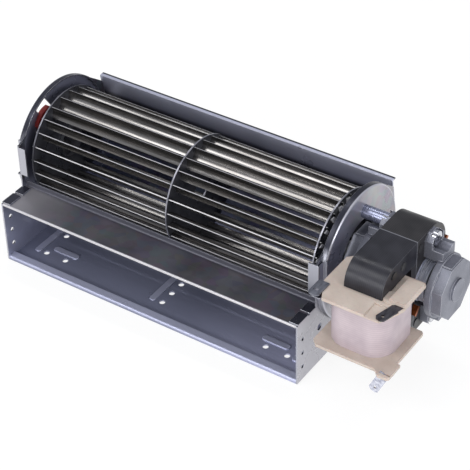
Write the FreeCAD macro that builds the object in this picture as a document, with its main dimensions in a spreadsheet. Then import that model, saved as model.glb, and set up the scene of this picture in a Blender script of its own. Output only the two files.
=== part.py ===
import FreeCAD, Part
import math
import os
import Sketcher

# Cross flow fan: a folded sheet housing with an outlet duct, a bladed drum that turns in it,
# and a shaded pole motor on the right end. Millimetres. +X runs along the drum to the motor,
# -Y points out of the outlet, +Z is up. The origin is on the underside, below the drum's axis.

SIZES = {
    # Housing sheets
    "housing_width": 190.0,      # over the flat parts of both end plates
    "wall": 0.8,                 # every housing sheet
    "axis_height": 49.6,         # drum axis above the underside
    "outlet_height": 38.2,       # outside height of the outlet duct
    "outlet_depth": 55.5,        # drum axis to the front edge of the duct
    "floor_hem": 2.2,            # thickness of the folded front edge of the floor
    "floor_hem_depth": 5.0,
    "roof_hem": 1.6,             # thickness of the folded front edge of the duct roof
    "roof_hem_depth": 4.0,
    "tongue_distance": 34.6,     # drum axis to the front face of the tongue lip
    "tongue_rise": 3.0,          # lip above the duct roof
    "scroll_radius": 36.0,
    "scroll_reach": 40.0,        # drum axis to the inside of the rear wall
    "upper_radius": 148.0,       # gentle curve of the rear wall above the scroll
    "lip_height": 71.4,          # top edge of the rear wall
    "lip_fold": 2.6,             # edge folded back at the top of the rear wall
    "lip_bend": 1.2,
    "corner_height": 66.5,       # rear corner of the end plates
    # End plates
    "pan_radius": 36.8,          # round pan pressed outwards around the drum's end
    "pan_depth": 3.0,
    "pan_bend": 1.6,
    "strip_front": 37.8,         # drum axis to the front strip
    "strip_width": 5.0,          # strip inwards from the flat part of the plate
    "strip_bottom": 47.2,
    "strip_top": 65.0,
    "tab_reach": 5.5,            # roof tabs, folded over the duct roof
    "front_tab_length": 9.3,
    "rear_tab_length": 7.0,
    "tab_gap": 1.5,
    "tab_setback": 0.9,
    "edge_hole_radius": 1.2,     # three small holes along the front edge
    "edge_hole_pitch": 9.2,
    "edge_hole_height": 8.5,
    "edge_hole_setback": 5.2,
    "motor_opening_radius": 20.0,
    "service_hole_radius": 2.0,
    "service_hole_front": 34.4,
    "service_hole_height": 23.3,
    "earth_width": 6.3,
    "earth_length": 11.0,
    "earth_height": 45.0,
    "earth_hole_radius": 1.1,
    # Floor holes and beads
    "floor_hole_radius": 1.6,
    "outer_hole_x": 79.5,
    "inner_hole_x": 66.3,
    "front_hole_y": 40.6,
    "rear_hole_y": 22.9,
    "bead_width": 4.0,
    "bead_rise": 0.7,
    "long_bead_length": 24.0,
    "side_bead_x": 85.0,
    "middle_bead_x": 6.0,
    "short_bead_length": 13.0,
    "short_bead_x": 69.5,
    "short_bead_y": 35.2,
    # Drum
    "drum_radius": 31.8,
    "drum_length": 179.6,
    "drum_shift": -1.4,          # middle of the drum from the middle of the housing
    "disc_thickness": 0.8,
    "blade_count": 24.0,
    "blade_thickness": 0.5,
    "blade_inner_radius": 25.6,
    "blade_rim": 0.7,            # disc rim outside the blades
    "blade_curve": 5.2,
    "blade_lead": 7.0,           # degrees that the outer edge leads the inner edge
    "blade_crimp": 1.0,          # blade ends that stand out of the end discs
    # Shaft, hubs and rotor
    "shaft_radius": 3.0,
    "running_gap": 0.03,
    "hub_radius": 9.0,
    "hub_thickness": 2.0,
    "hub_neck_radius": 6.0,
    "drive_neck_length": 5.6,
    "stub_length": 10.5,
    "drive_insert": 12.0,        # motor shaft inside the drive hub
    "grub_screw_radius": 1.5,
    "rotor_radius": 12.6,
    "rotor_gap": 0.4,
    "cage_ring_radius": 12.0,
    "cage_ring_bore": 8.0,
    "cage_ring_length": 5.5,
    "washer_thickness": 0.6,
    "washer_radius": 5.0,
    # Left bearing
    "bush_radius": 5.5,
    "bush_length": 6.0,
    "mount_hub_radius": 14.6,
    "mount_thickness": 4.0,
    "mount_arm_width": 13.6,
    "mount_arm_shoulder": 25.9,  # drum axis to the corners of an arm's round end
    "mount_arm_tip": 11.1,       # radius of that end
    "window_reach": 33.0,        # open part of each window, beside and beyond its arm
    "window_side_gap": 1.9,
    "mount_angle": 33.0,         # degrees from the top towards the outlet
    # Motor
    "stack_centre": 125.0,
    "stack_thickness": 21.0,
    "stack_half_height": 29.2,
    "stack_rear": 19.0,
    "stack_rear_corner": 15.0,
    "stack_front": 44.6,
    "stack_front_corner": 11.5,
    "yoke_width": 12.8,
    "leg_width": 13.6,
    "stack_joint": 10.7,
    "pole_front": 15.4,
    "pole_slot": 2.4,
    "screw_radius": 2.0,
    "screw_height": 24.7,        # motor screws above and below the axis
    "screw_setback": 2.6,        # motor screws behind the axis
    "screw_head_radius": 3.9,
    "screw_head_height": 2.4,
    "spacer_radius": 3.6,
    "rivet_radius": 1.6,
    "rivet_height": 23.8,        # rivets from the axis
    "front_rivet": 33.5,
    "inner_rivet": 24.6,
    "rear_rivet": 8.0,
    "rivet_head": 0.5,
    "shading_bar": 2.0,
    "shading_end": 2.8,          # how far the rings stand out of the stack
    "shading_inner": 15.6,       # inner bar from the axis
    "rear_shading_outer": 22.6,  # outer bar of the rear ring from the axis
    "rear_shading_angle": 46.0,
    "front_shading_outer": 19.0,
    "front_shading_angle": 225.0,
    "fit_gap": 0.1,
    # Bearing brackets
    "lug_thickness": 4.4,
    "lug_floor": 1.9,            # under the sunk screw head
    "lug_width": 12.2,
    "lug_reach": 28.9,
    "lug_chamfer": 3.4,
    "head_recess": 4.9,
    "arm_root": 15.6,
    "arm_reach": 21.4,
    "arm_length": 10.6,
    "cup_start": 8.3,
    "cup_depth": 17.2,
    "cup_radius": 16.8,
    "cup_wall": 2.6,
    "skirt_radius": 17.2,
    "skirt_length": 3.2,
    "pad_rise": 0.6,             # raised pads on the cup in line with the arms
    "pad_width": 10.8,
    "boss_radius": 6.2,
    "boss_length": 1.4,
    "seat_radius": 7.4,
    "seat_start": 11.0,
    "boss_cap": 1.0,
    # Coil
    "bobbin_wall": 1.2,
    "bobbin_flange": 1.8,
    "bobbin_front": 58.0,
    "bobbin_rear": 21.7,
    "bobbin_left": 10.4,         # flange overhang past the stack's left face
    "bobbin_right": 12.0,        # flange overhang past the stack's right face
    "bobbin_corner": 3.0,
    "bobbin_chamfer": 1.2,
    "ledge_reach": 3.0,          # lower flange's front right corner, past the flange
    "ledge_side": 2.0,
    "ledge_start": 15.5,         # from the middle of the stack
    "ledge_length": 12.0,
    "notch_depth": 10.6,         # step under the upper terminal
    "notch_start": 8.4,          # start of that step from the middle of the stack
    "winding_build": 5.6,
    "winding_front_build": 7.0,
    "winding_corner": 12.0,
    "winding_rear_corner": 3.5,
    "block_height": 2.2,
    "block_width": 8.6,
    "block_length": 19.0,
    "terminal_width": 5.4,
    "terminal_thickness": 0.8,
    "terminal_reach": 10.0,
    "terminal_root": 6.0,
    "terminal_offset": 18.2,     # upper terminal from the middle of the stack
    "terminal_lean": 15.0,       # degrees that its tip leans to the left
    "lower_terminal_offset": 20.6,
    "lower_terminal_lean": 25.0,
    "terminal_drop": 12.8,
    "terminal_hole_radius": 0.9,
}

PARTS = "parts"
os.makedirs(PARTS, exist_ok=True)
doc = FreeCAD.newDocument("cross_flow_fan")
sheet = doc.addObject("Spreadsheet::Sheet", "Sizes")


class Size:
    """A length or angle that carries both its value and the sheet formula behind it."""

    def __init__(self, value, formula):
        self.value = value
        self.formula = formula

    def __add__(self, other):
        other = as_size(other)
        return Size(self.value + other.value, f"({self.formula} + {other.formula})")

    def __sub__(self, other):
        other = as_size(other)
        return Size(self.value - other.value, f"({self.formula} - {other.formula})")

    def __mul__(self, other):
        other = as_size(other)
        return Size(self.value * other.value, f"({self.formula} * {other.formula})")

    def __truediv__(self, other):
        other = as_size(other)
        return Size(self.value / other.value, f"({self.formula} / {other.formula})")

    def __radd__(self, other):
        return as_size(other) + self

    def __rsub__(self, other):
        return as_size(other) - self

    def __rmul__(self, other):
        return as_size(other) * self

    def __neg__(self):
        return as_size(0) - self


def as_size(item):
    return item if isinstance(item, Size) else Size(float(item), f"({float(item):.6f})")


def root(size):
    return Size(math.sqrt(size.value), f"sqrt({size.formula})")


def cosine(angle):
    angle = as_size(angle)
    return Size(math.cos(math.radians(angle.value)), f"cos({angle.formula})")


def sine(angle):
    angle = as_size(angle)
    return Size(math.sin(math.radians(angle.value)), f"sin({angle.formula})")


for row, (alias, number) in enumerate(SIZES.items(), start=1):
    sheet.set(f"A{row}", alias)
    sheet.set(f"B{row}", str(number))
    sheet.setAlias(f"B{row}", alias)
doc.recompute()


def size(alias):
    return Size(SIZES[alias], f"Sizes.{alias}")


def bind(thing, name, value):
    """Sets a property from a formula, so that it follows the sheet."""
    thing.setExpression(name, as_size(value).formula)


def new_body(label, height=None):
    """A body whose own origin may sit at a height."""
    body = doc.addObject("PartDesign::Body", label)
    body.Label = label
    if height is not None:
        bind(body, "Placement.Base.z", height)
    return body


def origin_feature(body, role):
    return next(item for item in body.Origin.OriginFeatures if item.Role == role)


def new_sketch(body, plane, offset=0):
    """A sketch on one of the body's own planes: YZ looks along X, XZ against Y, XY along Z."""
    sketch = body.newObject("Sketcher::SketchObject", f"{body.Name}_sketch")
    sketch.AttachmentSupport = [(origin_feature(body, f"{plane}_Plane"), "")]
    sketch.MapMode = "FlatFace"
    bind(sketch, "AttachmentOffset.Base.z", offset)
    return sketch


def pin_point(sketch, geometry, end, point):
    for kind, value in zip(("DistanceX", "DistanceY"), point):
        number = sketch.addConstraint(
            Sketcher.Constraint(kind, -1, 1, geometry, end, value.value)
        )
        sketch.setExpression(f"Constraints[{number}]", value.formula)


def arc_between(start, finish, radius):
    """Short arc of a circle; a positive radius keeps its centre on the left of the way from start."""
    chord_x = finish[0].value - start[0].value
    chord_y = finish[1].value - start[1].value
    chord = math.hypot(chord_x, chord_y)
    rise = math.sqrt(max(radius.value**2 - chord**2 / 4, 0.0)) * (1 if radius.value > 0 else -1)
    centre_x = (start[0].value + finish[0].value) / 2 - chord_y / chord * rise
    centre_y = (start[1].value + finish[1].value) / 2 + chord_x / chord * rise
    first, last = (start, finish) if radius.value > 0 else (finish, start)
    angles = [math.atan2(p[1].value - centre_y, p[0].value - centre_x) for p in (first, last)]
    if angles[1] < angles[0]:
        angles[1] += 2 * math.pi
    circle = Part.Circle(FreeCAD.Vector(centre_x, centre_y, 0), FreeCAD.Vector(0, 0, 1), abs(radius.value))
    return Part.ArcOfCircle(circle, angles[0], angles[1])


def outline(sketch, corners):
    """Closed outline. A corner is (x, y), or (x, y, radius) where an arc leaves it."""
    corners = [tuple(as_size(item) for item in corner) for corner in corners]
    ends = []
    for start, finish in zip(corners, corners[1:] + corners[:1]):
        if len(start) == 2:
            points = [FreeCAD.Vector(p[0].value, p[1].value, 0) for p in (start, finish)]
            ends.append((sketch.addGeometry(Part.LineSegment(*points)), 1, 2))
            continue
        radius = start[2]
        number = sketch.addGeometry(arc_between(start, finish, radius))
        ends.append((number, 1, 2) if radius.value > 0 else (number, 2, 1))
        limit = radius if radius.value > 0 else -radius
        constraint = sketch.addConstraint(Sketcher.Constraint("Radius", number, limit.value))
        sketch.setExpression(f"Constraints[{constraint}]", limit.formula)
    for (first, _, last_end), (second, first_end, _) in zip(ends, ends[1:] + ends[:1]):
        sketch.addConstraint(Sketcher.Constraint("Coincident", first, last_end, second, first_end))
    for (number, start_end, _), corner in zip(ends, corners):
        pin_point(sketch, number, start_end, corner)


def circle(sketch, x, y, radius):
    x, y, radius = as_size(x), as_size(y), as_size(radius)
    number = sketch.addGeometry(
        Part.Circle(FreeCAD.Vector(x.value, y.value, 0), FreeCAD.Vector(0, 0, 1), radius.value)
    )
    constraint = sketch.addConstraint(Sketcher.Constraint("Radius", number, radius.value))
    sketch.setExpression(f"Constraints[{constraint}]", radius.formula)
    pin_point(sketch, number, 3, (x, y))


def rectangle(sketch, left, bottom, right, top):
    outline(sketch, [(left, bottom), (right, bottom), (right, top), (left, top)])


def rounded(sketch, left, bottom, right, top, radius):
    """Rectangle with four round corners."""
    r = as_size(radius)
    outline(sketch, [
        (left + r, bottom), (right - r, bottom, r), (right, bottom + r), (right, top - r, r),
        (right - r, top), (left + r, top, r), (left, top - r), (left, bottom + r, r),
    ])


def slot(sketch, x, y, length, radius, upright=False):
    """Bar with round ends; (x, y) is the middle of its first end, and it runs along x or along y."""
    around = [
        (0, -radius), (length, -radius, radius), (length + radius, 0, radius),
        (length, radius), (0, radius, radius), (-radius, 0, radius),
    ]
    turn = (lambda a, b: (x - b, y + a)) if upright else (lambda a, b: (x + a, y + b))
    outline(sketch, [(*turn(corner[0], corner[1]), *corner[2:]) for corner in around])


def ordered(low, high):
    low, high = as_size(low), as_size(high)
    return (low, high) if low.value < high.value else (high, low)


def solid(body, plane, low, high, draw):
    """Adds what draw sketches, from one level to another along the plane's normal."""
    low, high = ordered(low, high)
    sketch = new_sketch(body, plane, low)
    draw(sketch)
    pad = body.newObject("PartDesign::Pad", f"{body.Name}_pad")
    pad.Profile = sketch
    bind(pad, "Length", high - low)
    sketch.Visibility = False
    return pad


def cut(body, plane, low, high, draw):
    """Removes what draw sketches, from one level to another along the plane's normal."""
    low, high = ordered(low, high)
    sketch = new_sketch(body, plane, low)
    draw(sketch)
    pocket = body.newObject("PartDesign::Pocket", f"{body.Name}_pocket")
    pocket.Profile = sketch
    pocket.Reversed = True
    bind(pocket, "Length", high - low)
    return pocket


def copies(body, features, count, axis="X_Axis"):
    pattern = body.newObject("PartDesign::PolarPattern", f"{body.Name}_pattern")
    pattern.Originals = features
    pattern.Axis = (origin_feature(body, axis), [""])
    pattern.Angle = 360
    bind(pattern, "Occurrences", count)
    body.Tip = pattern
    return pattern


def turned(body, points):
    """Solid of revolution about X; points are (x, radius)."""
    sketch = new_sketch(body, "XY")
    outline(sketch, points)
    turn = body.newObject("PartDesign::Revolution", f"{body.Name}_turn")
    turn.Profile = sketch
    turn.ReferenceAxis = (origin_feature(body, "X_Axis"), [""])
    turn.Angle = 360
    return turn


def round_edges(body, radius, wanted):
    """Rounds the edges of the last feature that wanted() picks by their shape."""
    doc.recompute()
    base = body.Tip
    names = [f"Edge{n}" for n, edge in enumerate(base.Shape.Edges, start=1) if wanted(edge)]
    if not names:
        raise RuntimeError(f"{body.Label}: no edge to round")
    fillet = body.newObject("PartDesign::Fillet", f"{body.Name}_round")
    fillet.Base = (base, names)
    bind(fillet, "Radius", radius)


def is_circle_at(x, radius):
    def wanted(edge):
        curve = edge.Curve
        return (
            curve.TypeId == "Part::GeomCircle"
            and abs(curve.Radius - radius.value) < 0.01
            and abs(edge.CenterOfMass.x - x.value) < 0.01
        )
    return wanted


wall = size("wall")
half_width = size("housing_width") / 2
inner_half = half_width - wall
axis_height = size("axis_height")
outlet_depth = size("outlet_depth")
outlet_height = size("outlet_height")
scroll_radius = size("scroll_radius")
scroll_reach = size("scroll_reach")
upper_radius = size("upper_radius")
scroll_start = scroll_reach - scroll_radius
turn_height = wall + scroll_radius


def rear_wall_y(height, radius):
    """Y of the upper rear wall at a height, on the surface of the given radius."""
    rise = height - turn_height
    return scroll_reach - upper_radius + root(radius * radius - rise * rise)


def scroll_sheet():
    """Floor and rear wall, one bent sheet, with a folded front edge and a folded top edge."""
    body = new_body("scroll_sheet")
    outer_radius = scroll_radius + wall
    outer_upper = upper_radius + wall
    top = size("lip_height")
    top_inner = rear_wall_y(top, upper_radius)
    top_outer = rear_wall_y(top, outer_upper)
    solid(body, "YZ", -inner_half, inner_half, lambda s: outline(s, [
        (-outlet_depth, 0), (scroll_start, 0, outer_radius), (scroll_reach + wall, turn_height, outer_upper),
        (top_outer, top), (top_inner, top, -upper_radius), (scroll_reach, turn_height, -scroll_radius),
        (scroll_start, wall), (-outlet_depth, wall),
    ]))
    bend = size("lip_bend")
    fold_back = top_outer + size("lip_fold")
    clear = size("corner_height") + wall
    clear_inner = rear_wall_y(clear, upper_radius)
    clear_outer = rear_wall_y(clear, outer_upper)
    solid(body, "YZ", -half_width, half_width, lambda s: outline(s, [
        (clear_inner, clear), (clear_outer, clear, outer_upper),
        (rear_wall_y(top - wall, outer_upper), top - wall),
        (fold_back, top - wall), (fold_back, top), (top_inner + bend, top, bend),
        (rear_wall_y(top - bend, upper_radius), top - bend, -upper_radius),
    ]))
    hem = size("floor_hem")
    hem_end = -outlet_depth + size("floor_hem_depth")
    solid(body, "YZ", -inner_half, inner_half, lambda s: outline(s, [
        (-outlet_depth + hem / 2, 0), (hem_end, 0), (hem_end, hem),
        (-outlet_depth + hem / 2, hem, hem / 2), (-outlet_depth, hem / 2, hem / 2),
    ]))
    rise = size("bead_rise")
    bead = size("bead_width") / 2
    bead_start = -size("front_hole_y")

    for x in (-size("side_bead_x"), -size("middle_bead_x"), size("side_bead_x")):
        y, length = bead_start, size("long_bead_length")
        solid(body, "XY", wall, wall + rise, lambda s: slot(s, x, y, length, bead, True))
        cut(body, "XY", 0, rise, lambda s: slot(s, x, y, length, bead - wall, True))
    for side in (-1, 1):
        length = size("short_bead_length")
        x, y = side * size("short_bead_x") - length / 2, -size("short_bead_y")
        solid(body, "XY", wall, wall + rise, lambda s: slot(s, x, y, length, bead))
        cut(body, "XY", 0, rise, lambda s: slot(s, x, y, length, bead - wall))

    def is_bead_rim(edge):
        return all(abs(vertex.Z - (wall + rise).value) < 0.001 for vertex in edge.Vertexes)

    round_edges(body, rise * 0.6, is_bead_rim)

    def holes(sketch):
        front, rear = -size("front_hole_y"), -size("rear_hole_y")
        outer, inner = size("outer_hole_x"), size("inner_hole_x")
        places = [(0, front), (0, (front + rear) / 2), (0, rear)]
        for side in (-1, 1):
            places += [(side * outer, front), (side * outer, rear), (side * inner, front)]
        for x, y in places:
            circle(sketch, x, y, size("floor_hole_radius"))

    cut(body, "XY", 0, wall, holes)
    return body


def duct_top_plate():
    """Roof of the outlet duct: front edge folded under, rear edge turned up as the tongue lip."""
    body = new_body("duct_top_plate")
    hem = size("roof_hem")
    hem_end = -outlet_depth + size("roof_hem_depth")
    back = -size("tongue_distance") + wall
    bend = wall * 1.5
    inner_bend = bend - wall / 2
    top = outlet_height + size("tongue_rise")
    solid(body, "YZ", -inner_half, inner_half, lambda s: outline(s, [
        (-outlet_depth + hem / 2, outlet_height - hem), (hem_end, outlet_height - hem),
        (hem_end, outlet_height - wall), (back - bend, outlet_height - wall, bend),
        (back, outlet_height - wall + bend), (back, top), (back - wall, top),
        (back - wall, outlet_height + inner_bend, -inner_bend), (back - wall - inner_bend, outlet_height),
        (-outlet_depth + hem / 2, outlet_height, hem / 2),
        (-outlet_depth, outlet_height - hem / 2, hem / 2),
    ]))
    return body


def end_plate(label, side):
    """Pressed end plate: flat skirt on the duct, round pan at the drum, strip and roof tabs folded in."""
    body = new_body(label)
    face, back = side * half_width, side * inner_half
    pan = size("pan_radius")
    pan_face = side * (half_width + size("pan_depth"))
    pan_back = pan_face - side * wall
    strip = -size("strip_front")
    strip_top = size("strip_top")
    corner = size("corner_height")
    corner_y = rear_wall_y(corner, upper_radius + wall)
    shoulder = 148.0
    rear_shoulder = 44.0
    tabs_height = outlet_height + wall
    solid(body, "YZ", back, face, lambda s: outline(s, [
        (-outlet_depth, 0), (scroll_start, 0, scroll_radius + wall),
        (scroll_reach + wall, turn_height, upper_radius + wall), (corner_y, corner),
        (pan * cosine(rear_shoulder), axis_height + pan * sine(rear_shoulder), pan),
        (pan * cosine(shoulder), axis_height + pan * sine(shoulder)),
        (strip, strip_top), (strip, tabs_height), (-outlet_depth, tabs_height),
    ]))
    solid(body, "YZ", back, pan_face, lambda s: circle(s, 0, axis_height, pan))
    cut(body, "YZ", back, pan_back, lambda s: circle(s, 0, axis_height, pan - wall))
    round_edges(body, size("pan_bend"), is_circle_at(pan_face, pan))
    bottom, flat_start = size("strip_bottom"), strip + size("strip_width")
    solid(body, "YZ", back, pan_face, lambda s: rectangle(s, strip, bottom, flat_start, strip_top))
    cut(body, "YZ", back, pan_back, lambda s: rectangle(
        s, strip + wall, bottom + wall, flat_start + wall, strip_top - wall
    ))
    solid(body, "XZ", size("strip_front") - wall, size("strip_front"), lambda s: rectangle(
        s, *ordered_box(side * (half_width - size("strip_width")), pan_face, bottom, strip_top)
    ))
    front_tab = -outlet_depth + size("tab_setback")
    front_end = front_tab + size("front_tab_length")
    rear_tab = front_end + size("tab_gap")
    rear_end = rear_tab + size("rear_tab_length")
    for start, end in ((front_tab, front_end), (rear_tab, rear_end)):
        solid(body, "XY", outlet_height, tabs_height, lambda s: rectangle(
            s, *ordered_box(side * (half_width - size("tab_reach")), back, start, end)
        ))
    for start, end in ((-outlet_depth - wall, front_tab), (front_end, rear_tab)):
        cut(body, "YZ", back, face, lambda s: rectangle(s, start, outlet_height, end, tabs_height + wall))

    def edge_holes(sketch):
        y = -outlet_depth + size("edge_hole_setback")
        for step in range(3):
            z = size("edge_hole_height") + step * size("edge_hole_pitch")
            circle(sketch, y, z, size("edge_hole_radius"))

    cut(body, "YZ", back, face, edge_holes)
    return body


def ordered_box(x_a, x_b, low, high):
    x_a, x_b = ordered(x_a, x_b)
    return x_a, low, x_b, high


screw_y = size("screw_setback")
screw_z = size("screw_height")
shaft_radius = size("shaft_radius")
bore_radius = shaft_radius + size("running_gap")


def left_end_plate():
    """Left end plate: round opening with three arms' windows for the rubber bearing mount."""
    body = end_plate("left_end_plate", -1)
    deep, shallow = -(half_width + size("pan_depth") + wall), -inner_half
    cut(body, "YZ", deep, shallow, lambda s: circle(s, 0, axis_height, size("mount_hub_radius")))
    reach = size("window_reach")
    side = -(half_arm + size("window_side_gap"))
    open_part = [(0, side), (reach, side), (reach, 0), (0, 0)]
    for angle in mount_angles:
        for corners in (mount_arm, open_part):
            cut(body, "YZ", deep, shallow, lambda s: outline(s, from_axis(angle, corners, axis_height)))
    return body


half_arm = size("mount_arm_width") / 2
shoulder = size("mount_arm_shoulder")
mount_arm = [
    (0, -half_arm), (shoulder, -half_arm, size("mount_arm_tip")), (shoulder, half_arm), (0, half_arm),
]
mount_angles = [90 + size("mount_angle") + 120 * step for step in range(3)]


def from_axis(angle, corners, height):
    """Corners given along and across a direction that leaves the axis, placed in the YZ plane."""
    along, across = (cosine(angle), sine(angle)), (-sine(angle), cosine(angle))
    return [
        (along[0] * r + across[0] * w, along[1] * r + across[1] * w + height, *radius)
        for r, w, *radius in corners
    ]


def radial_box(angle, near, far, half, height):
    """Corners of a bar that points away from the axis, in the YZ plane."""
    return from_axis(angle, [(near, -half), (far, -half), (far, half), (near, half)], height)


def right_end_plate():
    """Right end plate: motor opening, two motor screw holes, a service hole and the earth tab."""
    body = end_plate("right_end_plate", 1)
    pan_face = half_width + size("pan_depth")

    def motor_holes(sketch):
        circle(sketch, 0, axis_height, size("motor_opening_radius"))
        for turn in (-1, 1):
            circle(sketch, screw_y, axis_height + turn * screw_z, size("screw_radius"))

    cut(body, "YZ", inner_half, pan_face + wall, motor_holes)
    cut(body, "YZ", inner_half, half_width, lambda s: circle(
        s, -size("service_hole_front"), size("service_hole_height"), size("service_hole_radius")
    ))
    tip = -size("strip_front") - wall
    root_end = tip + size("earth_length")
    level = size("earth_height")
    outer = pan_face - wall / 2
    inner = outer - size("earth_width")
    corner = wall * 2
    window_top = level + size("earth_width")
    cut(body, "YZ", inner_half, pan_face + wall, lambda s: rectangle(
        s, -size("strip_front") + wall, level, root_end, window_top
    ))
    solid(body, "XY", level, level + wall, lambda s: outline(s, [
        (inner + corner, tip), (outer - corner, tip, corner), (outer, tip + corner), (outer, root_end),
        (inner, root_end), (inner, tip + corner, corner),
    ]))
    cut(body, "XY", level, level + wall, lambda s: circle(
        s, (inner + outer) / 2, tip + size("earth_width") * 0.7, size("earth_hole_radius")
    ))
    return body


drum_left = size("drum_shift") - size("drum_length") / 2
drum_right = size("drum_shift") + size("drum_length") / 2
disc = size("disc_thickness")


def blade_outline():
    """Section of one blade at the top of the drum: two equal arcs side by side."""
    inner, outer = size("blade_inner_radius"), size("drum_radius") - size("blade_rim")
    lead = size("blade_lead")
    foot = (as_size(0), inner)
    tip = (outer * sine(lead), outer * cosine(lead))
    across, along = tip[0] - foot[0], tip[1] - foot[1]
    chord = root(across * across + along * along)
    thick = size("blade_thickness")
    step = (along / chord * thick, -across / chord * thick)
    curve = size("blade_curve")
    return [
        foot, (foot[0] + step[0], foot[1] + step[1], curve),
        (tip[0] + step[0], tip[1] + step[1]), (*tip, -curve),
    ]


def impeller_blades():
    """All blades of the drum, one strip each, passed through the three discs."""
    body = new_body("impeller_blades", axis_height)
    crimp = size("blade_crimp")
    blade = solid(body, "YZ", drum_left - crimp, drum_right + crimp, lambda s: outline(s, blade_outline()))
    copies(body, [blade], size("blade_count"))
    return body


def impeller_disc(label, left, hole):
    """Stamped disc with a slot for each blade."""
    body = new_body(label, axis_height)

    def face(sketch):
        circle(sketch, 0, 0, size("drum_radius"))
        circle(sketch, 0, 0, hole)

    solid(body, "YZ", left, left + disc, face)
    blade = cut(body, "YZ", left, left + disc, lambda s: outline(s, blade_outline()))
    copies(body, [blade], size("blade_count"))
    return body


hub_radius = size("hub_radius")
hub_neck = size("hub_neck_radius")
hub_plate = size("hub_thickness")
stub_end = drum_left - size("stub_length")
drive_end = drum_right + size("drive_neck_length")
shaft_start = drive_end - size("drive_insert")


def stub_shaft():
    """Turned stub with a flange, riveted through the left disc."""
    body = new_body("stub_shaft", axis_height)
    inside = drum_left + disc
    turned(body, [
        (stub_end, 0), (inside + hub_plate, 0), (inside + hub_plate, hub_radius), (inside, hub_radius),
        (inside, hub_neck), (drum_left - wall, hub_neck), (drum_left - wall, shaft_radius),
        (stub_end, shaft_radius),
    ])
    return body


def drive_hub():
    """Turned hub on the right disc, bored for the motor shaft and cross drilled for its screw."""
    body = new_body("drive_hub", axis_height)
    inside = drum_right - disc
    base = shaft_start - hub_plate
    turned(body, [
        (base, 0), (shaft_start, 0), (shaft_start, shaft_radius), (drive_end, shaft_radius), (drive_end, hub_neck),
        (inside, hub_neck), (inside, hub_radius), (inside - hub_plate, hub_radius), (inside - hub_plate, hub_neck),
        (base, hub_neck),
    ])
    cut(body, "XY", 0, hub_neck + wall, lambda s: circle(
        s, (drive_end + drum_right) / 2, 0, size("grub_screw_radius")
    ))
    return body


def grub_screw():
    """Set screw with a hexagon socket that clamps the drum on the motor shaft."""
    body = new_body("grub_screw", axis_height)
    x = (drive_end + drum_right) / 2
    radius = size("grub_screw_radius")
    solid(body, "XY", shaft_radius, hub_neck, lambda s: circle(s, x, 0, radius))
    socket = radius / 2
    corners = [(x + socket * cosine(60 * n), socket * sine(60 * n)) for n in range(6)]
    cut(body, "XY", hub_neck - radius, hub_neck, lambda s: outline(s, corners))
    return body


stack_centre = size("stack_centre")
stack_left = stack_centre - size("stack_thickness") / 2
stack_right = stack_centre + size("stack_thickness") / 2
cup_depth = size("cup_depth")
boss_end = cup_depth + size("boss_length")
bush_end = boss_end - size("boss_cap")
bush_start = bush_end - size("bush_length")
shaft_end = stack_right + bush_end - size("running_gap") * 10


def motor_shaft():
    """Ground steel shaft from the drum's hub to the outer bearing."""
    body = new_body("motor_shaft", axis_height)
    tip = wall / 2
    turned(body, [
        (shaft_start, 0), (shaft_end, 0), (shaft_end, shaft_radius - tip), (shaft_end - tip, shaft_radius),
        (shaft_start, shaft_radius),
    ])
    return body


def rotor():
    """Laminated rotor with its cast cage; the end rings stand out on both sides."""
    body = new_body("rotor", axis_height)
    ring, bore, length = size("cage_ring_radius"), size("cage_ring_bore"), size("cage_ring_length")
    radius = size("rotor_radius")
    turned(body, [
        (stack_left - length, bore), (stack_left, bore), (stack_left, shaft_radius), (stack_right, shaft_radius),
        (stack_right, bore), (stack_right + length, bore), (stack_right + length, ring), (stack_right, ring),
        (stack_right, radius), (stack_left, radius), (stack_left, ring), (stack_left - length, ring),
    ])
    return body


def shaft_washers():
    """Fibre thrust washers between the rotor and each bearing bush."""
    body = new_body("thrust_washers", axis_height)
    thick = size("washer_thickness")
    play = size("running_gap") * 10
    for start in (stack_left - bush_start + play, stack_right + bush_start - play - thick):
        solid(body, "YZ", start, start + thick, lambda s: ring(s, size("washer_radius"), shaft_radius))
    return body


def ring(sketch, outer, inner, x=0, y=0):
    circle(sketch, x, y, outer)
    circle(sketch, x, y, inner)


mount_face = -(half_width + size("pan_depth"))


def bearing_mount():
    """Moulded silicone rubber mount: a hub with three arms pressed into the left plate's windows."""
    body = new_body("rubber_bearing_mount", axis_height)
    thick = size("mount_thickness")
    start = mount_face - thick / 4
    end = start + thick
    solid(body, "YZ", start, end, lambda s: circle(s, 0, 0, size("mount_hub_radius")))
    for angle in mount_angles:
        solid(body, "YZ", mount_face, end, lambda s: outline(s, from_axis(angle, mount_arm, 0)))
    cut(body, "YZ", start, end, lambda s: circle(s, 0, 0, size("bush_radius")))
    return body


def bush(label, start):
    """Sintered bronze bush with a running bore."""
    body = new_body(label, axis_height)
    solid(body, "YZ", start, start + size("bush_length"), lambda s: ring(s, size("bush_radius"), bore_radius))
    return body


joint_y = -size("stack_joint")
half_stack = size("stack_half_height")
yoke_inner = half_stack - size("yoke_width")
leg_front = -size("stack_front")
leg_rear = leg_front + size("leg_width")


rivets = size("rivet_height")
front_rivets = [(-size(name), turn * rivets) for name in ("front_rivet", "inner_rivet") for turn in (-1, 1)]
rear_rivets = [(-size("rear_rivet"), turn * rivets) for turn in (-1, 1)]


def circles(sketch, places, radius):
    for x, y in places:
        circle(sketch, x, y, radius)


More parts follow.
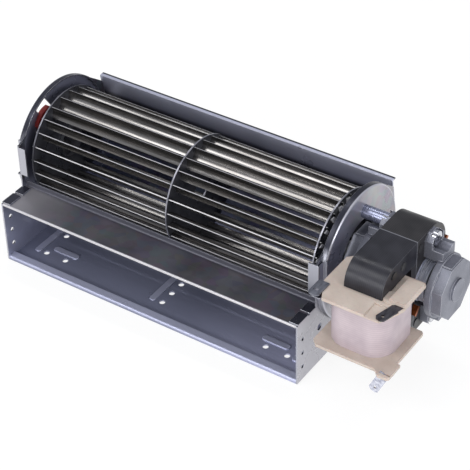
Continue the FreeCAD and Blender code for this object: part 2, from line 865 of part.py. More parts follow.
def coil_core():
    """Front half of the lamination stack: the leg inside the coil and both yoke arms."""
    body = new_body("coil_core", axis_height)
    round_front = size("stack_front_corner")
    solid(body, "YZ", stack_left, stack_right, lambda s: outline(s, [
        (joint_y, half_stack), (leg_front + round_front, half_stack, round_front),
        (leg_front, half_stack - round_front), (leg_front, round_front - half_stack, round_front),
        (leg_front + round_front, -half_stack), (joint_y, -half_stack), (joint_y, -yoke_inner),
        (leg_rear, -yoke_inner), (leg_rear, yoke_inner), (joint_y, yoke_inner),
    ]))
    cut(body, "YZ", stack_left, stack_right, lambda s: circles(s, front_rivets, size("rivet_radius")))
    return body


shading_places = [(size(f"{end}_shading_angle"), size(f"{end}_shading_outer")) for end in ("rear", "front")]


def pole_core():
    """Rear half of the lamination stack: both poles round the rotor's bore."""
    body = new_body("pole_core", axis_height)
    rear, rear_corner = size("stack_rear"), size("stack_rear_corner")
    pole_front = -size("pole_front")
    bore = size("rotor_radius") + size("rotor_gap")
    half_slot = size("pole_slot") / 2
    solid(body, "YZ", stack_left, stack_right, lambda s: outline(s, [
        (joint_y, half_stack), (joint_y, yoke_inner), (pole_front, yoke_inner), (pole_front, -yoke_inner),
        (joint_y, -yoke_inner), (joint_y, -half_stack), (rear - rear_corner, -half_stack, rear_corner),
        (rear, rear_corner - half_stack), (rear, half_stack - rear_corner, rear_corner),
        (rear - rear_corner, half_stack),
    ]))
    cut(body, "YZ", stack_left, stack_right, lambda s: circle(s, 0, 0, bore))
    cut(body, "YZ", stack_left, stack_right, lambda s: rectangle(s, pole_front - wall, -half_slot, 0, half_slot))

    def screw_holes(sketch):
        for turn in (-1, 1):
            circle(sketch, screw_y, turn * screw_z, size("screw_radius") + size("fit_gap"))

    cut(body, "YZ", stack_left, stack_right, screw_holes)
    cut(body, "YZ", stack_left, stack_right, lambda s: circles(s, rear_rivets, size("rivet_radius")))
    bar = size("shading_bar") / 2 + size("fit_gap")
    for angle, outer in shading_places:
        for distance in (size("shading_inner"), outer):
            cut(body, "YZ", stack_left, stack_right, lambda s: outline(
                s, radial_box(angle, distance - bar, distance + bar, bar, 0)
            ))
    return body


def shading_rings():
    """Two copper rings, each a closed loop through two slots of a pole."""
    body = new_body("shading_rings", axis_height)
    end = size("shading_end")
    half = size("shading_bar") / 2
    inner = size("shading_inner")
    for angle, outer in shading_places:
        for distance in (inner, outer):
            solid(body, "YZ", stack_left - end, stack_right + end, lambda s: outline(
                s, radial_box(angle, distance - half, distance + half, half, 0)
            ))
        for low in (stack_left - end, stack_right):
            solid(body, "YZ", low, low + end, lambda s: outline(
                s, radial_box(angle, inner - half, outer + half, half, 0)
            ))
    return body


def stack_rivets():
    """Rivets that clamp the laminations, with low heads on both faces."""
    body = new_body("stack_rivets", axis_height)
    head = size("rivet_head")
    places = front_rivets + rear_rivets
    solid(body, "YZ", stack_left, stack_right, lambda s: circles(s, places, size("rivet_radius")))
    for low in (stack_left - head, stack_right):
        solid(body, "YZ", low, low + head, lambda s: circles(s, places, size("rivet_radius") * 1.4))
    return body


def bracket(label, side):
    """Die cast bearing bracket: an eight sided cup on two arms that end in lugs with sunk screw heads."""
    body = new_body(label, axis_height)
    face = stack_right if side > 0 else stack_left

    def at(distance):
        return face + side * as_size(distance)

    cup_start = size("cup_start")
    cup = size("cup_radius")
    flat = cup * cosine(22.5)
    cavity = flat - size("cup_wall")
    eight = [(cup * cosine(22.5 + 45 * n), cup * sine(22.5 + 45 * n)) for n in range(8)]
    solid(body, "YZ", at(cup_start), at(cup_depth), lambda s: outline(s, eight))
    solid(body, "YZ", at(cup_start), at(cup_start + size("skirt_length")), lambda s: circle(
        s, 0, 0, size("skirt_radius")
    ))
    solid(body, "YZ", at(cup_depth), at(boss_end), lambda s: circle(s, 0, 0, size("boss_radius")))
    cut(body, "YZ", at(cup_start), at(cup_depth - size("cup_wall")), lambda s: circle(s, 0, 0, cavity))
    solid(body, "YZ", at(size("seat_start")), at(cup_depth), lambda s: circle(s, 0, 0, size("seat_radius")))
    half, half_pad = size("lug_width") / 2, size("pad_width") / 2
    front, back = screw_y - half, screw_y + half
    foot, reach, chamfer = size("arm_root"), size("lug_reach"), size("lug_chamfer")
    arm_end = size("arm_length")
    for turn in (-1, 1):
        solid(body, "YZ", at(0), at(arm_end), lambda s: rectangle(
            s, front, turn * foot, back, turn * size("arm_reach")
        ))
        solid(body, "YZ", at(0), at(size("lug_thickness")), lambda s: outline(s, [
            (front, turn * foot), (back, turn * foot), (back, turn * (reach - chamfer)),
            (back - chamfer, turn * reach), (front + chamfer, turn * reach), (front, turn * (reach - chamfer)),
        ]))
        solid(body, "YZ", at(arm_end), at(cup_depth - size("pad_rise")), lambda s: rectangle(
            s, -half_pad, turn * (flat - wall), half_pad, turn * (flat + size("pad_rise"))
        ))

    def at_screws(radius):
        return lambda s: circles(s, [(screw_y, turn * screw_z) for turn in (-1, 1)], radius)

    cut(body, "YZ", at(0), at(size("lug_floor")), at_screws(size("screw_radius") + size("fit_gap")))
    cut(body, "YZ", at(size("lug_floor")), at(arm_end), at_screws(size("head_recess")))
    cut(body, "YZ", at(size("seat_start")), at(bush_end), lambda s: circle(s, 0, 0, size("bush_radius")))
    if side < 0:
        cut(body, "YZ", at(bush_end), at(boss_end), lambda s: circle(s, 0, 0, shaft_radius * 1.2))
    return body


lug = size("lug_floor")
plate_face = half_width + size("pan_depth")


def long_screws():
    """Two pan head screws through the motor and its spacers into the right end plate."""
    body = new_body("long_screws", axis_height)
    radius = size("screw_radius")
    head = size("screw_head_height")
    seat = stack_right + lug
    for turn in (-1, 1):
        solid(body, "YZ", plate_face - wall * 3, seat, lambda s: circle(s, screw_y, turn * screw_z, radius))
        solid(body, "YZ", seat, seat + head, lambda s: circle(
            s, screw_y, turn * screw_z, size("screw_head_radius")
        ))
    for turn in (-1, 1):
        for angle in (30, 120):
            cut(body, "YZ", seat + head / 2, seat + head, lambda s: outline(s, [
                (y + screw_y, z + turn * screw_z)
                for y, z in radial_box(angle, -radius, radius, radius / 4, 0)
            ]))
    return body


def motor_spacers():
    """Turned spacers that hold the motor off the end plate."""
    body = new_body("motor_spacers", axis_height)
    for turn in (-1, 1):
        solid(body, "YZ", plate_face, stack_left - lug, lambda s: ring(
            s, size("spacer_radius"), size("screw_radius") + size("fit_gap"), screw_y, turn * screw_z
        ))
    return body


gap = size("fit_gap")
bobbin_wall = size("bobbin_wall")
flange = size("bobbin_flange")
flange_top = yoke_inner - gap
flange_bottom = flange_top - flange
tube_left = stack_left - gap - bobbin_wall
tube_right = stack_right + gap + bobbin_wall
tube_front = leg_front - gap - bobbin_wall
tube_rear = leg_rear + gap + bobbin_wall
bobbin_left = stack_left - size("bobbin_left")
bobbin_right = stack_right + size("bobbin_right")
bobbin_front = -size("bobbin_front")
notch_y = bobbin_front + size("notch_depth")
tab_half = size("terminal_width") / 2
tab_thick = size("terminal_thickness")
upper_tab_x = stack_centre + size("terminal_offset")
lower_tab_x = stack_centre + size("lower_terminal_offset")
ledge_front = bobbin_front - size("ledge_reach")
lower_tab_y = -ledge_front - flange


def leaning(origin, lean, points):
    """Points given from an origin, turned about it so that the far end leans to the left."""
    turned_points = []
    for x, y, *radius in points:
        x, y = as_size(x), as_size(y)
        turned_points.append((
            origin[0] + x * cosine(lean) + y * sine(lean), origin[1] + y * cosine(lean) - x * sine(lean), *radius
        ))
    return turned_points


def blade_with_hole(sketch, origin, foot, tip, lean):
    """Flat blade terminal below its origin, with a tapered tip and a hole."""
    bevel = tab_half / 2
    outline(sketch, leaning(origin, lean, [
        (-tab_half, foot), (-tab_half, bevel - tip), (-bevel, -tip), (bevel, -tip), (tab_half, bevel - tip),
        (tab_half, foot),
    ]))
    hole = leaning(origin, lean, [(0, size("terminal_width") * 0.6 - tip)])[0]
    circle(sketch, *hole, size("terminal_hole_radius"))


def coil_bobbin():
    """Moulded nylon bobbin: a square tube on the core's leg between two flanges."""
    body = new_body("coil_bobbin", axis_height)
    front, rear = bobbin_front, -size("bobbin_rear")
    corner, small = size("bobbin_corner"), size("bobbin_chamfer")
    notch_x = stack_centre + size("notch_start")
    ledge_left = stack_centre + size("ledge_start")
    ledge_right = bobbin_right + size("ledge_side")
    ledge_rear = ledge_front + size("ledge_length")

    def lower_flange(sketch):
        outline(sketch, [
            (bobbin_left + corner, front), (ledge_left, front), (ledge_left + corner, ledge_front),
            (ledge_right - small, ledge_front), (ledge_right, ledge_front + small), (ledge_right, ledge_rear),
            (bobbin_right, ledge_rear), (bobbin_right, rear - small), (bobbin_right - small, rear),
            (bobbin_left + corner, rear), (bobbin_left, rear - corner), (bobbin_left, front + corner),
        ])

    def upper_flange(sketch):
        outline(sketch, [
            (bobbin_left + corner * 2, front), (bobbin_right - corner * 2, front),
            (bobbin_right - corner, front + corner * 2), (bobbin_right, notch_y + corner),
            (bobbin_right, rear - small), (bobbin_right - small, rear), (bobbin_left + corner, rear),
            (bobbin_left, rear - corner), (bobbin_left, front + corner * 4),
        ])

    solid(body, "XY", -flange_top, -flange_bottom, lower_flange)
    solid(body, "XY", flange_bottom, flange_top, upper_flange)
    solid(body, "XY", -flange_bottom, flange_bottom, lambda s: rectangle(
        s, tube_left, tube_front, tube_right, tube_rear
    ))
    cut(body, "XY", flange_top - tab_thick, flange_top, lambda s: rectangle(
        s, notch_x, front - corner, bobbin_right + corner, notch_y
    ))
    block = size("block_height")
    block_left = bobbin_right - size("block_width")
    block_rear = rear - corner
    solid(body, "XY", flange_top, flange_top + block, lambda s: rectangle(
        s, block_left, block_rear - size("block_length"), bobbin_right, block_rear
    ))
    solid(body, "XY", flange_top, flange_top + block / 2, lambda s: circle(
        s, block_left, block_rear - size("block_length") + corner, corner * 1.5
    ))
    cut(body, "XY", -flange_top, flange_top + block, lambda s: rectangle(
        s, stack_left - gap, leg_front - gap, stack_right + gap, leg_rear + gap
    ))
    foot = size("terminal_root")
    seat = [(-tab_half, -foot), (tab_half, -foot), (tab_half, foot), (-tab_half, foot)]
    cut(body, "XY", flange_top - tab_thick, flange_top, lambda s: outline(
        s, leaning((upper_tab_x, notch_y), size("terminal_lean"), seat)
    ))
    cut(body, "XZ", lower_tab_y - tab_thick, lower_tab_y, lambda s: outline(
        s, leaning((lower_tab_x, -flange_top), size("lower_terminal_lean"), seat)
    ))
    return body


def coil_winding():
    """Copper winding under a wrap of tape, packed round the bobbin's tube."""
    body = new_body("coil_winding", axis_height)
    build = size("winding_build")
    big, small = size("winding_corner"), size("winding_rear_corner")
    left, right = tube_left - build, tube_right + build
    front, rear = tube_front - size("winding_front_build"), tube_rear + build
    solid(body, "XY", -flange_bottom, flange_bottom, lambda s: outline(s, [
        (left + big, front), (right - big, front, big), (right, front + big), (right, rear - small, small),
        (right - small, rear), (left + small, rear, small), (left, rear - small), (left, front + big, big),
    ]))
    cut(body, "XY", -flange_bottom, flange_bottom, lambda s: rectangle(
        s, tube_left, tube_front, tube_right, tube_rear
    ))
    return body


def upper_terminal():
    """Tinned brass blade on the upper flange, pointing forwards and a little to the left."""
    body = new_body("upper_terminal", axis_height)
    solid(body, "XY", flange_top - tab_thick, flange_top, lambda s: blade_with_hole(
        s, (upper_tab_x, notch_y), size("terminal_root"), size("terminal_reach"), size("terminal_lean")
    ))
    return body


def lower_terminal():
    """Tinned brass blade through the lower flange, pointing down and to the left."""
    body = new_body("lower_terminal", axis_height)
    solid(body, "XZ", lower_tab_y - tab_thick, lower_tab_y, lambda s: blade_with_hole(
        s, (lower_tab_x, -flange_top), flange, size("terminal_drop"), size("lower_terminal_lean")
    ))
    return body


pieces = [
    scroll_sheet(), duct_top_plate(), left_end_plate(), right_end_plate(),
    impeller_blades(),
    impeller_disc("left_disc", drum_left, hub_neck),
    impeller_disc("middle_disc", size("drum_shift") - disc / 2, hub_neck),
    impeller_disc("right_disc", drum_right - disc, hub_neck),
    stub_shaft(), drive_hub(), grub_screw(), motor_shaft(), rotor(), shaft_washers(),
    bearing_mount(), bush("idle_bearing", mount_face - size("bush_length") / 4),
    bush("left_motor_bearing", stack_left - bush_end), bush("right_motor_bearing", stack_right + bush_start),
    coil_core(), pole_core(), shading_rings(), stack_rivets(),
    bracket("left_bearing_bracket", -1), bracket("right_bearing_bracket", 1),
    long_screws(), motor_spacers(),
    coil_bobbin(), coil_winding(), upper_terminal(), lower_terminal(),
]

doc.recompute()
for item in doc.Objects:
    if "Invalid" in item.State or "Error" in item.State:
        raise RuntimeError(f"{item.Label} failed: {item.State}")
for piece in pieces:
    shape = piece.Shape
    if shape.isNull() or not shape.isValid() or not shape.Solids:
        raise RuntimeError(f"{piece.Label} has no valid shape")
    shape.exportStep(os.path.join(PARTS, f"{piece.Label}.step"))
    print(f"{piece.Label}: {len(shape.Solids)} solids, {shape.Volume:.1f} mm3")
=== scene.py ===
import math
import random

import bmesh
import bpy
from mathutils import Matrix, Vector


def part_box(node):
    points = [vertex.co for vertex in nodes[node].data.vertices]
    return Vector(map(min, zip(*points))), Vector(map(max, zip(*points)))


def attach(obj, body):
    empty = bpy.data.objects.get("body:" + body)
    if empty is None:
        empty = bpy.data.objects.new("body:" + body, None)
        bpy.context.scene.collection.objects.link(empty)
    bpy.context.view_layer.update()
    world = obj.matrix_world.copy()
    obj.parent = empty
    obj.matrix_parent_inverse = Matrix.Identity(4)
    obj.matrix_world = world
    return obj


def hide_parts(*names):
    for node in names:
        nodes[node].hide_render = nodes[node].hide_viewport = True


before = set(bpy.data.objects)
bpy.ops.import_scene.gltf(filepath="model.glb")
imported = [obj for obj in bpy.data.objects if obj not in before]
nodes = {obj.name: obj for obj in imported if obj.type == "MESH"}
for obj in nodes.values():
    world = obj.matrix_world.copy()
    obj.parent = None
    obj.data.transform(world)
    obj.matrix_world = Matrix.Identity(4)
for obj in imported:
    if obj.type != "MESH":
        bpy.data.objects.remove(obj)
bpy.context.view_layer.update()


# Scroll sheet: the duct's floor and the rear wall of the housing in one bent sheet of hot dip
# galvanised steel, 0.8 mm thick, with pressed beads, a hem at the front and a folded top lip.
# It is held between the end plates by spot welds.
def linear(code):
    """Linear colour of an sRGB hex value."""
    parts = [int(code[i:i + 2], 16) / 255 for i in (0, 2, 4)]
    return [p / 12.92 if p <= 0.04045 else ((p + 0.055) / 1.055) ** 2.4 for p in parts] + [1.0]


def add_node(material, kind, output, inputs, **settings):
    """Adds a shader node with its settings, values and links, and gives one of its outputs."""
    node = material.node_tree.nodes.new(kind)
    for name, value in settings.items():
        setattr(node, name, value)
    for socket, value in inputs.items():
        if isinstance(value, bpy.types.NodeSocket):
            material.node_tree.links.new(value, node.inputs[socket])
        else:
            node.inputs[socket].default_value = value
    return None if output is None else node.outputs[output]


def new_finish(name):
    material = bpy.data.materials.new(name)
    material.use_nodes = True
    material.node_tree.nodes.clear()
    return material


def dress(name, material):
    nodes[name].material_slots[0].material = material


def edge_highlight_and_soiling(material, radius, flat, sharp, most):
    """Normals rounded over the edges, and the share of the edge's mark there, which is a painted highlight
    on the metals and soiling on the bobbin: none where a rounded normal matches the face's own by more than
    flat, and the most at sharp."""
    rounded = add_node(material, "ShaderNodeBevel", "Normal", {"Radius": radius}, samples=6)
    plain = add_node(material, "ShaderNodeNewGeometry", "Normal", {})
    match = add_node(material, "ShaderNodeVectorMath", "Value", {
        0: rounded, 1: plain,
    }, operation="DOT_PRODUCT")
    share = add_node(material, "ShaderNodeMapRange", "Result", {
        "Value": match, "From Min": flat, "From Max": sharp, "To Max": most,
    })
    return rounded, share


def galvanised_sheet(name, shade, pale, metallic, rough, bands=(), painted_light_by_facing=None, edge_highlight_colour="c4c5cf"):
    """Hot dip galvanised steel, rolled: cloudy blue grey zinc with faint crystals and lines along X, with a
    painted highlight along the edges. A band is an axis, four places in mm and a colour; the facing argument
    holds three colours: a painted highlight on the bends, painted shade on the walls that run across the
    plate, and painted light on the edges that face the front."""
    zinc = new_finish(name)
    place = add_node(zinc, "ShaderNodeTexCoord", "Object", {})
    # zinc crystals about 5 mm across
    crystals = add_node(zinc, "ShaderNodeTexVoronoi", "Color", {"Vector": place, "Scale": 1000 / 5.0})
    # rolling lines, 0.3 mm on the real sheet, drawn 0.9 mm apart so that they show
    drawn_out = add_node(zinc, "ShaderNodeMapping", "Vector", {"Vector": place, "Scale": (0.04, 1, 1)})
    lines = add_node(zinc, "ShaderNodeTexNoise", "Fac", {
        "Vector": drawn_out, "Scale": 1000 / 0.9, "Detail": 3.0, "Roughness": 0.6,
    })
    # handling stains about 26 mm across
    stains = add_node(zinc, "ShaderNodeTexNoise", "Fac", {
        "Vector": place, "Scale": 1000 / 26, "Detail": 5.0,
    })
    cloud = add_node(zinc, "ShaderNodeMapRange", "Result", {
        "Value": stains, "From Min": 0.33, "From Max": 0.67,
    })
    tone = add_node(zinc, "ShaderNodeMix", 2, {
        0: cloud, 6: linear(shade), 7: linear(pale),
    }, data_type="RGBA")
    tone = add_node(zinc, "ShaderNodeMix", 2, {
        0: 0.14, 6: tone, 7: crystals,
    }, data_type="RGBA", blend_type="SOFT_LIGHT")
    scratch = add_node(zinc, "ShaderNodeMapRange", "Result", {
        "Value": lines, "From Min": 0.4, "From Max": 0.8, "To Max": 0.3,
    })
    tone = add_node(zinc, "ShaderNodeMix", 2, {0: scratch, 6: tone, 7: linear(pale)}, data_type="RGBA")
    for axis, start, full, fade, end, hue in bands:
        level = add_node(zinc, "ShaderNodeSeparateXYZ", axis, {"Vector": place})
        rise = add_node(zinc, "ShaderNodeMapRange", "Result", {
            "Value": level, "From Min": start / 1000, "From Max": full / 1000,
        })
        fall = add_node(zinc, "ShaderNodeMapRange", "Result", {
            "Value": level, "From Min": end / 1000, "From Max": fade / 1000,
        })
        share = add_node(zinc, "ShaderNodeMath", 0, {0: rise, 1: fall}, operation="MULTIPLY")
        tone = add_node(zinc, "ShaderNodeMix", 2, {0: share, 6: tone, 7: linear(hue)}, data_type="RGBA")
    # painted light by which way a face looks: a painted highlight on the bends, painted shade on the walls
    # that run across the plate, painted light on the walls that face the front
    if painted_light_by_facing:
        facing = add_node(zinc, "ShaderNodeTexCoord", "Normal", {})
        across = add_node(zinc, "ShaderNodeSeparateXYZ", "X", {"Vector": facing})
        square = add_node(zinc, "ShaderNodeMath", 0, {0: across, 1: across}, operation="MULTIPLY")
        forwards = add_node(zinc, "ShaderNodeSeparateXYZ", "Y", {"Vector": facing})
        for value, start, full, hue in (
            (square, 0.95, 0.5, painted_light_by_facing[0]), (square, 0.3, 0.1, painted_light_by_facing[1]), (forwards, -0.8, -0.97, painted_light_by_facing[2]),
        ):
            share = add_node(zinc, "ShaderNodeMapRange", "Result", {
                "Value": value, "From Min": start, "From Max": full,
            })
            tone = add_node(zinc, "ShaderNodeMix", 2, {0: share, 6: tone, 7: linear(hue)}, data_type="RGBA")
    # edges rounded by 0.3 mm of shearing, with a painted highlight along them
    rounded, edge_highlight_share = edge_highlight_and_soiling(zinc, 0.0003, 0.97, 0.8, 0.7)
    tone = add_node(zinc, "ShaderNodeMix", 2, {0: edge_highlight_share, 6: tone, 7: linear(edge_highlight_colour)}, data_type="RGBA")
    gloss = add_node(zinc, "ShaderNodeMapRange", "Result", {
        "Value": stains, "From Min": 0.3, "From Max": 0.7, "To Min": rough - 0.06, "To Max": rough + 0.1,
    })
    relief = add_node(zinc, "ShaderNodeBump", "Normal", {
        "Height": lines, "Distance": 0.00002, "Strength": 0.5, "Normal": rounded,
    })
    surface = add_node(zinc, "ShaderNodeBsdfPrincipled", "BSDF", {
        "Base Color": tone, "Metallic": metallic, "Roughness": gloss, "Normal": relief,
    })
    add_node(zinc, "ShaderNodeOutputMaterial", None, {"Surface": surface})
    return zinc


dress("scroll_sheet", galvanised_sheet("galvanised_scroll", "42445a", "5e6178", 0.4, 0.32, bands=[
    ("Z", -2.0, -1.0, 3.0, 12.0, "868aa2"),  # the floor, up into the bend
    ("X", 10.0, 80.0, 98.0, 99.0, "b0b3d0"),  # paler towards the motor
    ("Z", 1.0, 1.7, 3.2, 4.2, "bec1da"),  # painted highlight on the crowns of the beads
    ("Y", -62.0, -61.5, -56.5, -55.5, "5b5e70"),  # the hem
    ("Y", -62.0, -61.5, -60.8, -60.4, "a4a5ad"),  # painted highlight on its front edge
    ("Z", 30.0, 45.0, 54.0, 64.0, "343440"),  # painted shade behind the drum
    ("Z", 57.0, 69.5, 71.6, 72.0, "bcbed0"),  # painted highlight along the rear wall's top
    ("Y", 37.9, 38.3, 41.0, 42.0, "2a2a34"),  # painted shade on the lip's rear and the wall's outer side
]))


# Duct roof: a narrow sheet of the same steel from an older, duller coil, stained brown at its left end. Its
# front edge is folded under and carries a painted highlight, and its rear edge turns up as the tongue, with
# a painted highlight.
dress("duct_top_plate", galvanised_sheet("dull_galvanised_roof", "3b3a42", "504f57", 0.45, 0.42, bands=[
    ("X", -96.0, -94.0, -88.0, -52.0, "8b898e"),  # the left end
    ("Y", -57.0, -56.0, -55.1, -54.5, "c6c4c7"),  # painted highlight on the folded front edge
    ("Y", -35.6, -35.2, -33.0, -32.0, "5e5e68"),  # painted highlight on the tongue
]))


# Left end plate: pressed, with the round pan for the drum's end, a strip and two tabs folded over the roof.
# Its dark tone is painted shade on the inner face; the pan's rim and bends and the faces towards the front
# carry painted highlights, and the walls across the plate painted shade.
left_plate_zinc = galvanised_sheet(
    "left_plate_zinc_painted_light", "44454e", "5c5d68", 0.6, 0.2,
    bands=[
        ("X", -103.0, -102.0, -95.05, -94.9, "8a8ca0"),  # all that stands out of the plate, paler than the painted shade on its inner face
        ("Z", -2.0, -1.0, 30.0, 44.0, "a9acc2"),  # the plate's lower part
    ],
    # painted highlight on the bends, painted shade on the walls across the plate, painted light on the faces
    # towards the front, painted highlight on the edges
    painted_light_by_facing=("7c7d88", "3d3e49", "b0b0b8"), edge_highlight_colour="e2e2e8",
)
dress("left_end_plate", left_plate_zinc)


def pressed(plate, operation, *spans):
    """Cuts a block out of the plate's mesh, or joins it on. The spans are its x, y and z in mm."""
    tool = bmesh.new()
    bmesh.ops.create_cube(tool, size=2.0)
    for vertex in tool.verts:
        vertex.co = [span[place > 0] / 1000 for place, span in zip(vertex.co, spans)]
    tool_mesh = bpy.data.meshes.new("press_tool")
    tool.to_mesh(tool_mesh)
    tool.free()
    punch = bpy.data.objects.new("press_tool", tool_mesh)
    bpy.context.scene.collection.objects.link(punch)
    stroke = plate.modifiers.new("stroke", "BOOLEAN")
    stroke.operation, stroke.solver, stroke.object = operation, "EXACT", punch
    shaped = bpy.data.meshes.new_from_object(plate.evaluated_get(bpy.context.evaluated_depsgraph_get()))
    plate.modifiers.clear()
    plate.data = shaped
    bpy.data.objects.remove(punch)
    bpy.data.meshes.remove(tool_mesh)


# the pan's front is pressed back behind the strip, which so stands at the plate's own edge
wall, plate_face, pan_face = 0.8, -95.0, -98.0
strip_front, pan_front = -37.8, -33.3
foot, head = 46.0, 66.0
flat_plate = bpy.data.objects.new("left_plate_pressed_back", nodes["left_end_plate"].data.copy())
bpy.context.scene.collection.objects.link(flat_plate)
pressed(flat_plate, "DIFFERENCE", (pan_face - 1, plate_face), (strip_front - 2.2, pan_front), (foot, head))
pressed(flat_plate, "UNION", (plate_face, plate_face + wall), (strip_front, pan_front + wall), (foot, head))
pan_depth = (pan_face, plate_face + wall / 2)
pressed(flat_plate, "UNION", pan_depth, (pan_front, pan_front + wall), (foot, head))
pressed(flat_plate, "UNION", pan_depth, (strip_front + 1.2, pan_front + wall), (foot - wall, foot))
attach(flat_plate, "housing")
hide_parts("left_end_plate")


# Right end plate: the same pressing, with the motor's holes and the earth tab. Its strip is 6 mm wide, and
# the pan's front is pressed back behind it.
pale_sheet = galvanised_sheet(
    "pale_galvanised_right_plate", "8c8c95", "b3b2b6", 0.55, 0.26,
    bands=[
        ("Y", -38.0, -36.0, -24.0, 12.0, "85869a"),  # painted shade round the motor's opening
        ("Z", -2.0, -1.0, 34.0, 48.0, "b4b3ba"),  # the plate's lower part
    ],
    # painted highlight on the bends, painted shade on the pan's skirt and the walls across the plate,
    # painted light on the faces towards the front, painted highlight on the edges
    painted_light_by_facing=("c3c3cc", "2b2c37", "a6a7b0"), edge_highlight_colour="d8d9e2",
)
dress("right_end_plate", pale_sheet)
plate_face, pan_face, strip_edge = 95.0, 98.0, 96.0
pan_front, foot, head = -33.2, 47.2, 65.0
narrow_plate = bpy.data.objects.new("right_plate_narrow_strip", nodes["right_end_plate"].data.copy())
bpy.context.scene.collection.objects.link(narrow_plate)
cleared = (strip_edge, pan_face + 1)
pressed(narrow_plate, "DIFFERENCE", cleared, (strip_front - 0.5, pan_front), (foot - 0.3, head + 1))
pressed(narrow_plate, "UNION", (strip_edge - wall, strip_edge), (strip_front, pan_front + 0.6), (foot, head))
pan_depth = (plate_face - wall / 2, pan_face)
pressed(narrow_plate, "UNION", pan_depth, (pan_front, pan_front + wall), (foot, head + wall))
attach(narrow_plate, "housing")
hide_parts("right_end_plate")


# Drum blades: 24 strips of cold rolled steel, curved in a press and pushed through the discs' slots.
# Nearly a mirror, so each one shows a long white streak, with fine drawing lines along it.
strip = new_finish("cold_rolled_blade_strip")
place = add_node(strip, "ShaderNodeTexCoord", "Object", {})
along = add_node(strip, "ShaderNodeMapping", "Vector", {"Vector": place, "Scale": (0.02, 1, 1)})
# drawing lines, 0.2 mm on the real strip, drawn 1 mm apart so that they show
streaks = add_node(strip, "ShaderNodeTexNoise", "Fac", {
    "Vector": along, "Scale": 1000 / 1.0, "Detail": 4.0,
})
# oil haze in patches about 30 mm long
haze = add_node(strip, "ShaderNodeTexNoise", "Fac", {"Vector": place, "Scale": 1000 / 30, "Detail": 5.0})
share = add_node(strip, "ShaderNodeMapRange", "Result", {
    "Value": streaks, "From Min": 0.3, "From Max": 0.7,
})
tone = add_node(strip, "ShaderNodeMix", 2, {
    0: share, 6: linear("5b5957"), 7: linear("a29f9d"),
}, data_type="RGBA")
share = add_node(strip, "ShaderNodeMapRange", "Result", {
    "Value": haze, "From Min": 0.52, "From Max": 0.75, "To Max": 0.35,
})
tone = add_node(strip, "ShaderNodeMix", 2, {0: share, 6: tone, 7: linear("928983")}, data_type="RGBA")
# the slit edge, beyond 30.9 mm from the drum's axis, is rough and scatters the light
low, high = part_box("middle_disc")
axis_height = (low.z + high.z) / 2
about_axis = add_node(strip, "ShaderNodeMapping", "Vector", {
    "Vector": place, "Location": (0, 0, -axis_height), "Scale": (0, 1, 1),
})
radius = add_node(strip, "ShaderNodeVectorMath", "Value", {0: about_axis}, operation="LENGTH")
slit = add_node(strip, "ShaderNodeMapRange", "Result", {
    "Value": radius, "From Min": 0.03085, "From Max": 0.03102,
})
tone = add_node(strip, "ShaderNodeMix", 2, {0: slit, 6: tone, 7: linear("c9c8cd")}, data_type="RGBA")
mirror = add_node(strip, "ShaderNodeMapRange", "Result", {"Value": slit, "To Min": 0.94, "To Max": 0.0})
gloss = add_node(strip, "ShaderNodeMapRange", "Result", {
    "Value": haze, "From Min": 0.3, "From Max": 0.7, "To Min": 0.14, "To Max": 0.27,
})
gloss = add_node(strip, "ShaderNodeMath", 0, {0: slit, 1: 0.25, 2: gloss}, operation="MULTIPLY_ADD")
relief = add_node(strip, "ShaderNodeBump", "Normal", {
    "Height": streaks, "Distance": 0.000015, "Strength": 0.5,
})
surface = add_node(strip, "ShaderNodeBsdfPrincipled", "BSDF", {
    "Base Color": tone, "Metallic": mirror, "Roughness": gloss, "Normal": relief,
})
add_node(strip, "ShaderNodeOutputMaterial", None, {"Surface": surface})
dress("impeller_blades", strip)


# Discs: stamped from zinc plated sheet with one slot for each blade, and threaded on the blades. Grey on the
# faces and paler round the sheared rim.
plated = new_finish("zinc_plated_disc")
place = add_node(plated, "ShaderNodeTexCoord", "Object", {})
# plating clouds about 6 mm across
cloud = add_node(plated, "ShaderNodeTexNoise", "Fac", {"Vector": place, "Scale": 1000 / 6, "Detail": 5.0})
tone = add_node(plated, "ShaderNodeMix", 2, {
    0: cloud, 6: linear("25262c"), 7: linear("6a6b73"),
}, data_type="RGBA")
facing = add_node(plated, "ShaderNodeTexCoord", "Normal", {})
across = add_node(plated, "ShaderNodeSeparateXYZ", "X", {"Vector": facing})
square = add_node(plated, "ShaderNodeMath", 0, {0: across, 1: across}, operation="MULTIPLY")
rim = add_node(plated, "ShaderNodeMapRange", "Result", {"Value": square, "From Min": 0.6, "From Max": 0.2})
tone = add_node(plated, "ShaderNodeMix", 2, {0: rim, 6: tone, 7: linear("8f8f98")}, data_type="RGBA")
gloss = add_node(plated, "ShaderNodeMapRange", "Result", {
    "Value": cloud, "From Min": 0.3, "From Max": 0.7, "To Min": 0.24, "To Max": 0.38,
})
surface = add_node(plated, "ShaderNodeBsdfPrincipled", "BSDF", {
    "Base Color": tone, "Metallic": 0.7, "Roughness": gloss,
})
add_node(plated, "ShaderNodeOutputMaterial", None, {"Surface": surface})
for name in ("left_disc", "middle_disc", "right_disc"):
    dress(name, plated)


# Crimped tabs: the blades' ends stand out of both end discs and are bent over flat, each a little
# differently, which rivets the drum together. The tool leaves them crushed and satin, and they are painted
# pale as a highlight.
crushed = new_finish("strip_ends_painted_highlight")
place = add_node(crushed, "ShaderNodeTexCoord", "Object", {})
# tool marks about 0.8 mm across
marks = add_node(crushed, "ShaderNodeTexNoise", "Fac", {
    "Vector": place, "Scale": 1000 / 0.8, "Detail": 3.0,
})
